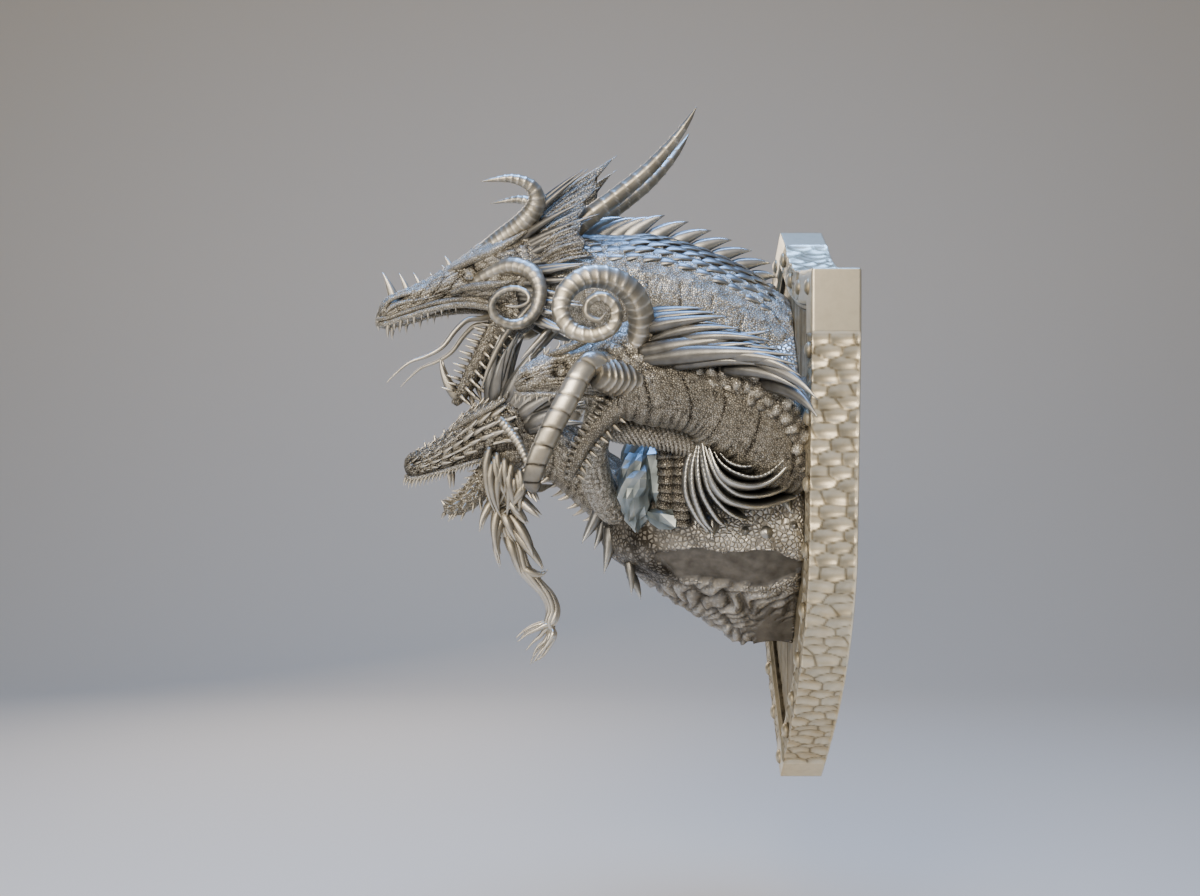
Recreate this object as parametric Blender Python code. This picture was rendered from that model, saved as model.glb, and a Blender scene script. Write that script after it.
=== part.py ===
"""Dragon trophy bust: a cast dragon with three kinds of head on a shield-shaped wall plaque.

The origin is the centre of the plaque's flat back. +Z is up, the dragon looks along -Y, and the
back lies in the plane Y = 0.
"""
from math import cos, pi, radians, sin

import bmesh
import bpy
from mathutils import Matrix, Vector

for old in list(bpy.data.objects):
    bpy.data.objects.remove(old, do_unlink=True)

# Driving sizes in metres
PLAQUE_HEIGHT = 0.450
PLAQUE_WIDTH = 0.350
PLAQUE_THICKNESS = 0.035
RIM_WIDTH = 0.024
RIM_RISE = 0.006
STRIP_WIDTH = 0.005
STRIP_RISE = 0.003
BOARD_WIDTH = 0.038
BOARD_SEAM = 0.0016
BOARD_SEAM_DEPTH = 0.0015
CAP_RISE = 0.0008
CREST_CAP_WIDTH = 0.060
EAR_CAP_HEIGHT = 0.045
EAR_CAP_REACH = 0.060
TIP_CAP_HEIGHT = 0.015
STUD_RADIUS = 0.0065
STUD_RISE = 0.0040
STUD_PITCH = 0.048
DRAGON_REACH = 0.337
GAP = 0.0003
# How far a piece that joins another is sunk into it, and how far a cutter runs past what it cuts
BURY = 0.001
OVERRUN = 0.5

BOARD_FRONT = PLAQUE_THICKNESS - RIM_RISE
HALF_WIDTH = PLAQUE_WIDTH / 2
HALF_HEIGHT = PLAQUE_HEIGHT / 2

# The dragon is a free form: its pose is drawn in units of its own reach from the boards, which
# the drawing has 29 units out from the wall
DRAWN_REACH = 337.0
DRAWN_BOARDS = 29.0
UNIT = DRAGON_REACH / DRAWN_REACH

part_collection = bpy.data.collections.new("dragon_trophy_bust")
bpy.context.scene.collection.children.link(part_collection)
cutter_collection = bpy.data.collections.new("cutters")
bpy.context.scene.collection.children.link(cutter_collection)


def new_material(name, colour, roughness, metallic):
    """A plain Principled material with one colour."""
    material = bpy.data.materials.new(name)
    material.use_nodes = True
    shader = material.node_tree.nodes["Principled BSDF"]
    shader.inputs["Base Color"].default_value = (*colour, 1.0)
    shader.inputs["Roughness"].default_value = roughness
    shader.inputs["Metallic"].default_value = metallic
    return material


def add_object(name, mesh, collection=cutter_collection):
    """Link a mesh as an object; what goes among the cutters is only a tool for the modelling."""
    made = bpy.data.objects.new(name, mesh)
    collection.objects.link(made)
    if collection is cutter_collection:
        made.hide_render = True
        made.display_type = "WIRE"
    return made


def claim(name):
    """Name the primitive that was just added and put it among the cutters."""
    made = bpy.context.object
    made.name = name
    for collection in list(made.users_collection):
        collection.objects.unlink(made)
    cutter_collection.objects.link(made)
    made.hide_render = True
    made.display_type = "WIRE"
    return made


def curve_to_mesh(name, curve, weld=0.00001):
    """Turn a curve into a closed mesh object, with its loose caps welded on."""
    holder = add_object(name + "_curve", curve)
    bpy.context.view_layer.update()
    evaluated = holder.evaluated_get(bpy.context.evaluated_depsgraph_get())
    mesh = bpy.data.meshes.new_from_object(evaluated)
    shape = bmesh.new()
    shape.from_mesh(mesh)
    bmesh.ops.remove_doubles(shape, verts=shape.verts, dist=weld)
    bmesh.ops.recalc_face_normals(shape, faces=shape.faces)
    shape.to_mesh(mesh)
    shape.free()
    bpy.data.objects.remove(holder, do_unlink=True)
    return add_object(name, mesh)


def at(x, forward, up):
    """A point of the dragon: sideways, out from the wall, and up, in drawn units."""
    return Vector((x * UNIT, -BOARD_FRONT - (forward - DRAWN_BOARDS) * UNIT, up * UNIT))


def limb(name, route, thick, thin, sides=8, steps=2, power=1.0):
    """A round tapering tube through the route, from the radius thick to the radius thin."""
    curve = bpy.data.curves.new(name, "CURVE")
    curve.dimensions = "3D"
    curve.bevel_depth = UNIT
    curve.bevel_resolution = max(0, sides // 2 - 2)
    curve.resolution_u = steps
    curve.use_fill_caps = True
    spline = curve.splines.new("BEZIER")
    spline.bezier_points.add(len(route) - 1)
    last = len(route) - 1
    for index, point in enumerate(route):
        knot = spline.bezier_points[index]
        knot.co = at(*point)
        knot.handle_left_type = "AUTO"
        knot.handle_right_type = "AUTO"
        knot.radius = thick + (thin - thick) * (index / last) ** power
    return curve_to_mesh(name, curve)


def loft(name, sections, sides, roundness=1.0):
    """A closed skin over oval sections that stand across the way out from the wall.

    A section is (sideways centre, forward, bottom, top, half width). A roundness under 1 squares it.
    """
    shape = bmesh.new()
    rings = []
    for centre, forward, bottom, top, half_width in sections:
        ring = []
        for step in range(sides):
            angle = 2 * pi * step / sides
            across = abs(cos(angle)) ** roundness * (1 if cos(angle) >= 0 else -1)
            height = abs(sin(angle)) ** roundness * (1 if sin(angle) >= 0 else -1)
            middle = (bottom + top) / 2
            point = at(centre + half_width * across, forward, middle + (top - bottom) / 2 * height)
            ring.append(shape.verts.new(point))
        rings.append(ring)
    for near, far in zip(rings, rings[1:]):
        for step in range(sides):
            following = (step + 1) % sides
            shape.faces.new((near[step], near[following], far[following], far[step]))
    shape.faces.new(rings[0])
    shape.faces.new(rings[-1])
    bmesh.ops.recalc_face_normals(shape, faces=shape.faces)
    mesh = bpy.data.meshes.new(name)
    shape.to_mesh(mesh)
    shape.free()
    return add_object(name, mesh)


def spike(name, base, tip, radius, flatness=1.0, sides=6):
    """A cone from its base point to its tip; flatness below 1 thins it sideways into a blade."""
    start = at(*base)
    along = at(*tip) - start
    bpy.ops.mesh.primitive_cone_add(vertices=sides, radius1=radius * UNIT, radius2=0.4 * UNIT,
                                    depth=along.length)
    cone = claim(name)
    cone.data.transform(Matrix.Translation((0, 0, along.length / 2)))
    cone.data.transform(Matrix.Diagonal((flatness, 1.0, 1.0, 1.0)))
    cone.data.transform(along.to_track_quat("Z", "Y").to_matrix().to_4x4())
    cone.data.transform(Matrix.Translation(start))
    return cone


def box(name, low, high, turn=0.0, pivot=(0.0, 0.0, 0.0)):
    """A block between two corners in metres, turned about the Y axis through its pivot."""
    bpy.ops.mesh.primitive_cube_add(size=1.0)
    block = claim(name)
    size = Vector(high) - Vector(low)
    block.data.transform(Matrix.Diagonal((*size, 1.0)))
    block.data.transform(Matrix.Translation((Vector(low) + Vector(high)) / 2))
    block.data.transform(Matrix.Rotation(turn, 4, "Y"))
    block.data.transform(Matrix.Translation(Vector(pivot)))
    return block


def mirrored(source):
    """The same piece on the other side of the dragon's middle plane."""
    mesh = source.data.copy()
    mesh.transform(Matrix.Diagonal((-1.0, 1.0, 1.0, 1.0)))
    mesh.flip_normals()
    return add_object(source.name + "_far", mesh)


def combine(target, pieces, operation):
    """Join the pieces to the target, or cut them out of it, all at once."""
    group = bpy.data.collections.new(target.name + "_" + operation.lower())
    for piece in pieces:
        group.objects.link(piece)
    step = target.modifiers.new(operation.lower(), "BOOLEAN")
    step.operation = operation
    step.operand_type = "COLLECTION"
    step.collection = group
    step.solver = "EXACT"
    step.use_self = False


def settle(source, name, material):
    """Apply the modifiers and place the finished solid among the object's parts."""
    bpy.context.view_layer.update()
    evaluated = source.evaluated_get(bpy.context.evaluated_depsgraph_get())
    mesh = bpy.data.meshes.new_from_object(evaluated)
    mesh.name = name
    mesh.materials.clear()
    mesh.materials.append(material)
    shape = bmesh.new()
    shape.from_mesh(mesh)
    bmesh.ops.remove_doubles(shape, verts=shape.verts, dist=0.00002)
    bmesh.ops.dissolve_degenerate(shape, edges=shape.edges, dist=0.00001)
    bmesh.ops.triangulate(shape, faces=shape.faces)
    shape.to_mesh(mesh)
    shape.free()
    mesh.shade_smooth()
    mesh.set_sharp_from_angle(angle=radians(35))
    return add_object(name, mesh, part_collection)


# The plaque's outline, drawn clockwise from the crest on the +X side as shares of its half sizes
PEAK = (0.0, 1.0)
SHOULDER = (0.163, 0.935)
EAR = (1.0, 0.771)
EAR_FOOT = (0.998, 0.573)
FLANK_END = (0.917, -0.160)
TIP_SHOULDER = (0.114, -0.932)
TIP = (0.0, -1.0)
SCOOP_PULL = ((0.33, 0.83), (0.62, 0.79))
BELLY_PULL = ((0.80, -0.50), (0.46, -0.72))
SCOOP_STEPS = 7
BELLY_STEPS = 12


def bend(start, pulls, end, steps):
    """The points after the start of a cubic curve in the plaque's plane."""
    points = []
    for step in range(1, steps + 1):
        t = step / steps
        weights = ((1 - t) ** 3, 3 * t * (1 - t) ** 2, 3 * t * t * (1 - t), t ** 3)
        knots = (start, *pulls, end)
        points.append(tuple(sum(w * k[axis] for w, k in zip(weights, knots)) for axis in (0, 1)))
    return points


def mitred(points, inset):
    """The closed outline's points, each moved inward by the inset along its corner's mitre."""
    moved = []
    for index, point in enumerate(points):
        before = (point - points[index - 1]).normalized()
        after = (points[(index + 1) % len(points)] - point).normalized()
        normal_before = Vector((-before.y, before.x))
        normal_after = Vector((-after.y, after.x))
        mitre = (normal_before + normal_after).normalized()
        moved.append(point - mitre * inset / max(0.35, mitre.dot(normal_after)))
    return moved


def shield_outline(inset=0.0):
    """The whole outline in metres, moved inward by the inset.

    Where the inset uses up an edge, the edge goes and its two neighbours run on until they meet.
    """
    half = [PEAK, SHOULDER, *bend(SHOULDER, SCOOP_PULL, EAR, SCOOP_STEPS), EAR_FOOT, FLANK_END,
            *bend(FLANK_END, BELLY_PULL, TIP_SHOULDER, BELLY_STEPS), TIP]
    near = [Vector((x * HALF_WIDTH, z * HALF_HEIGHT)) for x, z in half]
    far = [Vector((-point.x, point.y)) for point in reversed(near[1:-1])]
    points = near + far
    while True:
        moved = mitred(points, inset)
        count = len(points)
        used_up = [index for index in range(count)
                   if (points[index] - points[index - 1]).dot(moved[index] - moved[index - 1]) <= 0]
        if not used_up:
            return moved
        end = used_up[0]
        before = points[end - 1] - points[end - 2]
        after = points[(end + 1) % count] - points[end]
        share = (points[end] - points[end - 1]).cross(after) / before.cross(after)
        points[end - 1] = points[end - 1] + before * share
        del points[end]


def shield_slab(name, inset, back, front):
    """A slab of the shield's shape between two distances from the wall."""
    curve = bpy.data.curves.new(name, "CURVE")
    curve.dimensions = "2D"
    curve.fill_mode = "BOTH"
    curve.extrude = (front - back) / 2
    spline = curve.splines.new("POLY")
    outline = shield_outline(inset)
    spline.points.add(len(outline) - 1)
    for knot, point in zip(spline.points, outline):
        knot.co = (point.x, point.y, 0.0, 1.0)
    spline.use_cyclic_u = True
    slab = curve_to_mesh(name, curve)
    slab.data.transform(Matrix.Rotation(pi / 2, 4, "X"))
    slab.data.transform(Matrix.Translation((0.0, -(front + back) / 2, 0.0)))
    return slab


def shield_ring(name, outer_inset, inner_inset, back, front):
    """A frame of the shield's shape between two insets."""
    ring = shield_slab(name, outer_inset, back, front)
    hole = shield_slab(name + "_hole", inner_inset, back - 0.01, front + 0.01)
    combine(ring, [hole], "DIFFERENCE")
    return ring


def corner_cap(name, low_x, high_x, low_z, high_z):
    """A raised smooth cap that wraps the rim's edge and front between the given bounds."""
    cap = shield_ring(name, -CAP_RISE, RIM_WIDTH - CAP_RISE, BURY, PLAQUE_THICKNESS + CAP_RISE)
    block = box(name + "_block", (low_x, -OVERRUN, low_z), (high_x, OVERRUN, high_z))
    step = cap.modifiers.new("keep_corner", "BOOLEAN")
    step.operation = "INTERSECT"
    step.object = block
    step.solver = "EXACT"
    return cap


def stud_places():
    """Evenly spaced places along the rim's middle."""
    path = shield_outline(RIM_WIDTH / 2)
    path.append(path[0])
    length = sum((b - a).length for a, b in zip(path, path[1:]))
    count = round(length / STUD_PITCH)
    places = []
    for number in range(count):
        left = (number + 0.5) * length / count
        for a, b in zip(path, path[1:]):
            span = (b - a).length
            if left <= span:
                places.append(a + (b - a) * left / span)
                break
            left -= span
    return places


def make_plaque():
    """The shield: rim, boards, inner strip, corner caps and studs as one solid."""
    body = shield_slab("plaque_body", 0.0, 0.0, PLAQUE_THICKNESS)
    recess = shield_slab("plaque_recess", RIM_WIDTH, BOARD_FRONT, PLAQUE_THICKNESS + 0.01)
    seams = []
    seam_count = int((HALF_WIDTH - RIM_WIDTH - STRIP_WIDTH) / BOARD_WIDTH)
    for number in range(-seam_count, seam_count + 1):
        middle = number * BOARD_WIDTH
        low = (middle - BOARD_SEAM / 2, -PLAQUE_THICKNESS, -HALF_HEIGHT)
        high = (middle + BOARD_SEAM / 2, -(BOARD_FRONT - BOARD_SEAM_DEPTH), HALF_HEIGHT)
        seam = box(f"board_seam_{number}", low, high)
        step = seam.modifiers.new("stay_inside", "BOOLEAN")
        step.operation = "INTERSECT"
        step.object = shield_slab(f"seam_limit_{number}", RIM_WIDTH + STRIP_WIDTH / 2, 0.0,
                                  PLAQUE_THICKNESS + 0.01)
        step.solver = "EXACT"
        seams.append(seam)
    combine(body, [recess], "DIFFERENCE")
    combine(body, seams, "DIFFERENCE")
    strip = shield_ring("plaque_strip", RIM_WIDTH - BURY, RIM_WIDTH + STRIP_WIDTH,
                        BOARD_FRONT - BOARD_SEAM_DEPTH - BURY, BOARD_FRONT + STRIP_RISE)
    crest_half = CREST_CAP_WIDTH / 2
    crest_low = SHOULDER[1] * HALF_HEIGHT
    ear_low = EAR[1] * HALF_HEIGHT - EAR_CAP_HEIGHT
    ear_side = HALF_WIDTH - EAR_CAP_REACH
    tip_high = TIP_CAP_HEIGHT - HALF_HEIGHT
    caps = [
        corner_cap("crest_cap", -crest_half, crest_half, crest_low, OVERRUN),
        corner_cap("ear_cap", ear_side, OVERRUN, ear_low, OVERRUN),
        corner_cap("ear_cap_far", -OVERRUN, -ear_side, ear_low, OVERRUN),
        corner_cap("tip_cap", -crest_half, crest_half, -OVERRUN, tip_high),
    ]
    studs = []
    for number, place in enumerate(stud_places()):
        bpy.ops.mesh.primitive_uv_sphere_add(segments=8, ring_count=4, radius=STUD_RADIUS)
        stud = claim(f"stud_{number}")
        stud.data.transform(Matrix.Rotation(pi / 2, 4, "X"))
        stud.data.transform(Matrix.Diagonal((1.0, STUD_RISE / STUD_RADIUS, 1.0, 1.0)))
        stud.data.transform(Matrix.Translation((place.x, -PLAQUE_THICKNESS - BURY / 3, place.y)))
        studs.append(stud)
    combine(body, [strip, *caps, *studs], "UNION")
    return settle(body, "shield_plaque", new_material("plaque_metal", (0.30, 0.27, 0.23), 0.42, 0.85))


def middle_pieces():
    """What lies on the dragon's middle plane: trunk, two necks, two heads and their crests."""
    trunk_levels = (
        (138, 48, 40), (112, 78, 62), (86, 104, 76), (52, 134, 86), (30, 158, 92), (0, 180, 94),
        (-35, 178, 94), (-58, 150, 74), (-80, 118, 54), (-100, 86, 43), (-111, 72, 37),
    )
    pieces = [trunk(trunk_levels)]
    neck_a = [(0, 14, 92), (0, 52, 127), (0, 85, 152), (0, 118, 168), (0, 152, 177), (0, 185, 178),
              (0, 214, 180), (0, 245, 188)]
    pieces.append(limb("neck_top", neck_a, 48, 32, sides=16))
    pieces.append(loft("head_top", (
        (0, 232, 150, 234, 36), (0, 262, 158, 226, 40), (0, 285, 163, 210, 33), (0, 309, 163, 195, 26),
        (0, 336, 157, 181, 21), (0, 355, 150, 177, 16), (0, 366, 146, 168, 9)), 14, 0.85))
    pieces.append(limb("jaw_top", [(0, 258, 160), (0, 275, 145), (0, 287, 129), (0, 295, 112),
                                   (0, 302, 97), (0, 309, 85)], 15, 5))
    neck_b = [(0, 69, -30), (0, 118, -25), (4, 156, -6), (5, 185, 16), (3, 210, 36), (0, 235, 54),
              (0, 264, 62)]
    pieces.append(limb("neck_low", neck_b, 34, 22, sides=12))
    pieces.append(loft("head_low", (
        (0, 252, 40, 88, 23), (0, 280, 37, 86, 25), (0, 300, 30, 74, 20), (0, 318, 24, 58, 16),
        (0, 334, 20, 48, 12), (0, 344, 23, 38, 7)), 12, 0.85))
    pieces.append(limb("jaw_low", [(0, 262, 48), (0, 276, 30), (0, 287, 14), (0, 296, 2),
                                   (0, 310, -3)], 10, 3))
    pieces.append(limb("beard", [(0, 266, 44), (0, 271, 21), (0, 265, -4), (0, 258, -29),
                                 (0, 251, -47), (0, 237, -62), (0, 230, -83), (0, 235, -103),
                                 (0, 243, -131)], 12, 1.5))
    pieces.append(spike("nose_horn_top", (0, 356, 168), (0, 368, 193), 5))
    pieces.append(spike("snout_spike_top", (0, 338, 174), (0, 346, 193), 5))
    pieces.append(spike("brow_spike_top", (0, 308, 185), (0, 314, 203), 6))
    crest_count = 8
    for number in range(crest_count):
        share = number / (crest_count - 1)
        forward = 168 - 114 * share
        tip_height = 237 - 66 * share ** 1.8
        base = (0, forward + 22, tip_height - 34)
        pieces.append(spike(f"neck_blade_{number}", base, (0, forward, tip_height), 15, 0.35))
    return pieces


def trunk(levels):
    """The chest block: a closed skin over level slices, each a half oval that backs on the wall."""
    sides = 20
    shape = bmesh.new()
    rings = []
    for up, reach, half_width in levels:
        ring = []
        for step in range(sides + 1):
            angle = pi * step / sides
            across = abs(cos(angle)) ** 0.8 * (1 if cos(angle) >= 0 else -1)
            outward = sin(angle) ** 0.8
            ring.append(shape.verts.new(at(half_width * across, 20 + (reach - 20) * outward, up)))
        rings.append(ring)
    for low, high in zip(rings, rings[1:]):
        for step in range(sides + 1):
            following = (step + 1) % (sides + 1)
            shape.faces.new((low[step], low[following], high[following], high[step]))
    shape.faces.new(rings[0])
    shape.faces.new(rings[-1])
    bmesh.ops.recalc_face_normals(shape, faces=shape.faces)
    mesh = bpy.data.meshes.new("trunk")
    shape.to_mesh(mesh)
    shape.free()
    return add_object("trunk", mesh)


def near_pieces():
    """The +X side: the side neck and head, and every horn, fin, whisker and spike of that side."""
    pieces = [limb("neck_side", [(98, 14, 52), (104, 50, 55), (111, 76, 58), (118, 98, 67),
                                 (122, 118, 81), (124, 144, 95), (124, 166, 104)], 42, 30, sides=14)]
    pieces.append(loft("head_side", (
        (118, 140, 74, 140, 28), (124, 165, 80, 139, 29), (130, 190, 84, 127, 24),
        (133, 215, 85, 119, 19), (134, 235, 86, 109, 14), (134, 247, 90, 100, 8)), 12, 0.85))
    pieces.append(limb("jaw_side", [(124, 162, 96), (128, 181, 76), (130, 194, 59), (131, 203, 42),
                                    (131, 210, 25)], 13, 5))
    pieces.append(limb("ram_horn_side", [
        (134, 164, 112), (147, 156, 133), (152, 155, 148), (156, 163, 163), (160, 179, 170),
        (163, 196, 168), (166, 209, 158), (168, 212, 145), (170, 205, 132), (172, 191, 129),
        (173, 177, 134), (174, 173, 146), (175, 180, 154), (176, 190, 151)], 10, 4))
    pieces.append(limb("down_horn_side", [
        (134, 156, 98), (150, 180, 104), (162, 200, 98), (167, 210, 80), (170, 219, 62),
        (171, 227, 44), (168, 232, 31), (156, 233, 21), (140, 226, 18), (130, 219, 20)], 11, 5))
    pieces.append(limb("long_horn", [(18, 214, 218), (28, 177, 248), (38, 145, 274), (43, 125, 297),
                                     (48, 110, 318)], 9, 2.5))
    pieces.append(limb("front_horn", [
        (14, 288, 200), (20, 267, 220), (28, 248, 230), (36, 236, 243), (42, 235, 254),
        (46, 243, 261), (48, 259, 262), (50, 277, 260)], 8, 1.5, sides=6))
    pieces.append(limb("cheek_horn", [
        (22, 284, 180), (30, 274, 190), (38, 256, 194), (45, 239, 188), (50, 233, 173),
        (54, 239, 155), (57, 255, 147), (60, 266, 152), (62, 272, 162), (64, 265, 170),
        (66, 252, 171)], 7, 3.5, sides=6))
    pieces.append(limb("whisker", [(12, 270, 168), (28, 291, 150), (32, 301, 142), (34, 311, 129),
                                   (36, 325, 121), (38, 338, 117), (40, 354, 102)], 2.4, 1.2, sides=6))
    pieces.append(limb("brow_plume", [(14, 280, 80), (28, 274, 112), (33, 260, 136),
                                      (34, 228, 166)], 7, 3, sides=6))
    pieces.append(limb("jaw_horn", [(14, 268, 70), (31, 256, 53), (33, 249, 39), (33, 244, 26)],
                       4, 2, sides=6))
    fin_root = (26, 246, 192)
    for number, tip in enumerate(((30, 171, 280), (40, 193, 234), (45, 183, 205))):
        pieces.append(spike(f"ear_fin_{number}", fin_root, tip, 20, 0.3))
    mane_roots = ((132, 160, 110), (126, 142, 92))
    mane_tips = ((165, 94, 138), (172, 64, 127), (182, 50, 111), (188, 46, 93), (197, 44, 79),
                 (193, 44, 66))
    for number, tip in enumerate(mane_tips):
        share = number / (len(mane_tips) - 1)
        root = tuple(a + (b - a) * share for a, b in zip(*mane_roots))
        pieces.append(spike(f"mane_blade_{number}", root, tip, 15, 0.4))
    for number, (base, tip) in enumerate((((30, 178, 2), (45, 197, -27)), ((32, 166, -26), (42, 181, -54)),
                                          ((30, 142, -46), (42, 155, -75)))):
        pieces.append(spike(f"chest_spike_{number}", base, tip, 11))
    for number, (forward, up) in enumerate(((99, -8), (77, 2), (56, -16), (40, 3))):
        pieces.append(spike(f"side_spike_{number}", (76, forward, up), (104, forward + 3, up - 2), 10))
    return pieces


# The casting's flat cuts slope inward down each flank, from the chest's widest level; x and up
FLANK_CUT_PIVOT = (92.0, -35.0)
FLANK_CUT_REACH = 142.0
FLANK_CUT_DEPTH = 50.0
FLANK_CUT_TILT = radians(-55)


def make_dragon():
    """The whole casting as one solid, cut flat where it seats on the plaque."""
    middle = middle_pieces()
    near = near_pieces()
    far = [mirrored(piece) for piece in near]
    body = middle[0]
    pivot = at(FLANK_CUT_PIVOT[0], 0.0, FLANK_CUT_PIVOT[1])
    flank_low = (-OVERRUN, at(0.0, FLANK_CUT_REACH, 0.0).y - pivot.y, -FLANK_CUT_DEPTH * UNIT)
    flank_cut = box("flank_cut", flank_low, (OVERRUN, OVERRUN, 0.0), FLANK_CUT_TILT, pivot)
    combine(body, [flank_cut, mirrored(flank_cut)], "DIFFERENCE")
    combine(body, middle[1:] + near + far, "UNION")
    far_low = (-OVERRUN, -BOARD_FRONT - GAP, -OVERRUN)
    wall_block = box("wall_block", far_low, (OVERRUN, OVERRUN, OVERRUN))
    rim_low = (-OVERRUN, -PLAQUE_THICKNESS - STUD_RISE - GAP, -OVERRUN)
    rim_block = box("rim_block", rim_low, (OVERRUN, OVERRUN / 2, OVERRUN))
    inner_field = shield_slab("inner_field", RIM_WIDTH + STRIP_WIDTH + GAP, -OVERRUN, OVERRUN)
    combine(rim_block, [inner_field], "DIFFERENCE")
    combine(body, [wall_block, rim_block], "DIFFERENCE")
    return settle(body, "dragon_bust", new_material("bust_metal", (0.29, 0.26, 0.22), 0.38, 0.9))


make_plaque()
make_dragon()
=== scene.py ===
"""Dragon trophy bust on a shield plaque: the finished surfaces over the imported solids.

Shapes are worked out in millimetres as (sideways, forward from the wall, up), and each is turned
into metres with +Z up and the wall at Y = 0 when its mesh is made.
"""
import math

import bpy
import numpy as np
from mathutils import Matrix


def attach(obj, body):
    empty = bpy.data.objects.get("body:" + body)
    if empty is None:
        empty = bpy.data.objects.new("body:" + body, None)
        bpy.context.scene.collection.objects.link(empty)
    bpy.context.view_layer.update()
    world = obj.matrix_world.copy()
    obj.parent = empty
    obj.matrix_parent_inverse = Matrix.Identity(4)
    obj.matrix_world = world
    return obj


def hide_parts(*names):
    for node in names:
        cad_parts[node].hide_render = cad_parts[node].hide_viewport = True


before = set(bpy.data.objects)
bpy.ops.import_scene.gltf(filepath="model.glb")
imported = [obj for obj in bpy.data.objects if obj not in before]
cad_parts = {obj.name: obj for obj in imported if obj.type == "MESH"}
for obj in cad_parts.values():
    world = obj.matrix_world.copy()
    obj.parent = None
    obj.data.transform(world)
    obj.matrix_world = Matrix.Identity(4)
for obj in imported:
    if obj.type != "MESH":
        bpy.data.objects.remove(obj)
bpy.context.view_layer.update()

# Camera and stage.
# The camera looks straight along -X at the dragon's near side, level with the middle of the part
# and 1.16 m away. The stage is one pale sheet: floor, sweep and backdrop.
CAMERA_PLACE = (1.1645, -0.185, 0.047)
CAMERA_LENS = 42.0
FLOOR_LEVEL = -0.42
FLOOR_FRONT_X = 2.6
BACKDROP_X = -2.4
BACKDROP_TOP = 2.6
STAGE_SIDES = (-3.2, 2.8)
SWEEP_RADIUS = 0.9
SWEEP_STEPS = 12
LIGHT_TARGET = (0, -0.15, 0.05)
LIGHTS = (
    ("key_warm", (1.5, -0.5, 0.75), 0.7, 24, "fff0dc"),
    ("top_cool", (0.1, -0.2, 1.5), 0.9, 46, "82b4ff"),
    ("side_fill", (1.1, -1.3, 0.2), 0.8, 9, "fff4e6"),
    ("far_fill", (-1.3, -0.7, 0.6), 0.8, 9, "fff0e0"),
)

camera_data = bpy.data.cameras.new("camera")
camera_data.lens = CAMERA_LENS
camera_data.sensor_width = 36.0
camera_data.clip_start = 0.05
camera = bpy.data.objects.new("camera", camera_data)
camera.location = CAMERA_PLACE
camera.rotation_euler = (math.radians(90), 0.0, math.radians(90))
bpy.context.scene.collection.objects.link(camera)
bpy.context.scene.camera = camera


def linear(hex_colour):
    """An sRGB colour such as "8c8478" as linear RGBA."""
    channels = [int(hex_colour[i:i + 2], 16) / 255 for i in (0, 2, 4)]
    return (*[c / 12.92 if c <= 0.04045 else ((c + 0.055) / 1.055) ** 2.4 for c in channels], 1.0)


def add_node(tree, kind, values=None, **settings):
    """A shader node with its settings and inputs set; an input given as a socket is linked."""
    node = tree.nodes.new(kind)
    for name, value in settings.items():
        setattr(node, name, value)
    for key, value in (values or {}).items():
        if isinstance(value, bpy.types.NodeSocket):
            tree.links.new(value, node.inputs[key])
        else:
            node.inputs[key].default_value = value
    return node


def new_material(name):
    """An empty node material and its shader."""
    material = bpy.data.materials.new(name)
    material.use_nodes = True
    return material, material.node_tree, material.node_tree.nodes["Principled BSDF"]


def make_stage():
    """A floor that curves up into a backdrop behind the object, swept along Y."""
    curve = [(FLOOR_FRONT_X, FLOOR_LEVEL)]
    for step in range(SWEEP_STEPS + 1):
        turn = math.radians(90) * step / SWEEP_STEPS
        curve.append((BACKDROP_X + SWEEP_RADIUS - SWEEP_RADIUS * math.sin(turn),
                      FLOOR_LEVEL + SWEEP_RADIUS - SWEEP_RADIUS * math.cos(turn)))
    curve.append((BACKDROP_X, BACKDROP_TOP))
    verts = [(x, y, z) for x, z in curve for y in STAGE_SIDES]
    faces = [(2 * i, 2 * i + 1, 2 * i + 3, 2 * i + 2) for i in range(len(curve) - 1)]
    mesh = bpy.data.meshes.new("stage_sheet")
    mesh.from_pydata(verts, [], faces)
    mesh.shade_smooth()
    sheet = bpy.data.objects.new("stage_sheet", mesh)
    bpy.context.scene.collection.objects.link(sheet)
    material, _, shader = new_material("pale_paper")
    shader.inputs["Base Color"].default_value = linear("e2d7c4")
    shader.inputs["Roughness"].default_value = 0.9
    mesh.materials.append(material)


def add_light(name, place, size, power, colour):
    """A square area light aimed at the middle of the part."""
    data = bpy.data.lights.new(name, "AREA")
    data.size = size
    data.energy = power
    data.color = linear(colour)[:3]
    light = bpy.data.objects.new(name, data)
    light.location = place
    away = np.array(place) - np.array(LIGHT_TARGET)
    flat = math.hypot(away[0], away[1])
    light.rotation_euler = (math.atan2(flat, away[2]), 0.0, math.atan2(away[1], away[0]) + math.pi / 2)
    bpy.context.scene.collection.objects.link(light)


make_stage()
for light_values in LIGHTS:
    add_light(*light_values)

world = bpy.data.worlds.new("soft_room")
bpy.context.scene.world = world
world.use_nodes = True
world.node_tree.nodes["Background"].inputs["Color"].default_value = linear("b9bdc4")
world.node_tree.nodes["Background"].inputs["Strength"].default_value = 0.35

# Surface tools and the metal.
# Every surface is a grid carried along a path, with a relief laid over it. The relief also gives
# each point a tone from 0, deep and dark with patina, to 1, high and rubbed bright. In a few places,
# such as the chest's front and flat cuts, the tone also holds painted shade.
MM = 0.001
TO_XYZ = (1, -1, 1)
CURVE_STEPS = 24
CLOUD_SIZE = 9.0
GRAIN_SIZE = 0.7
METALLIC = 0.88


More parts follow.
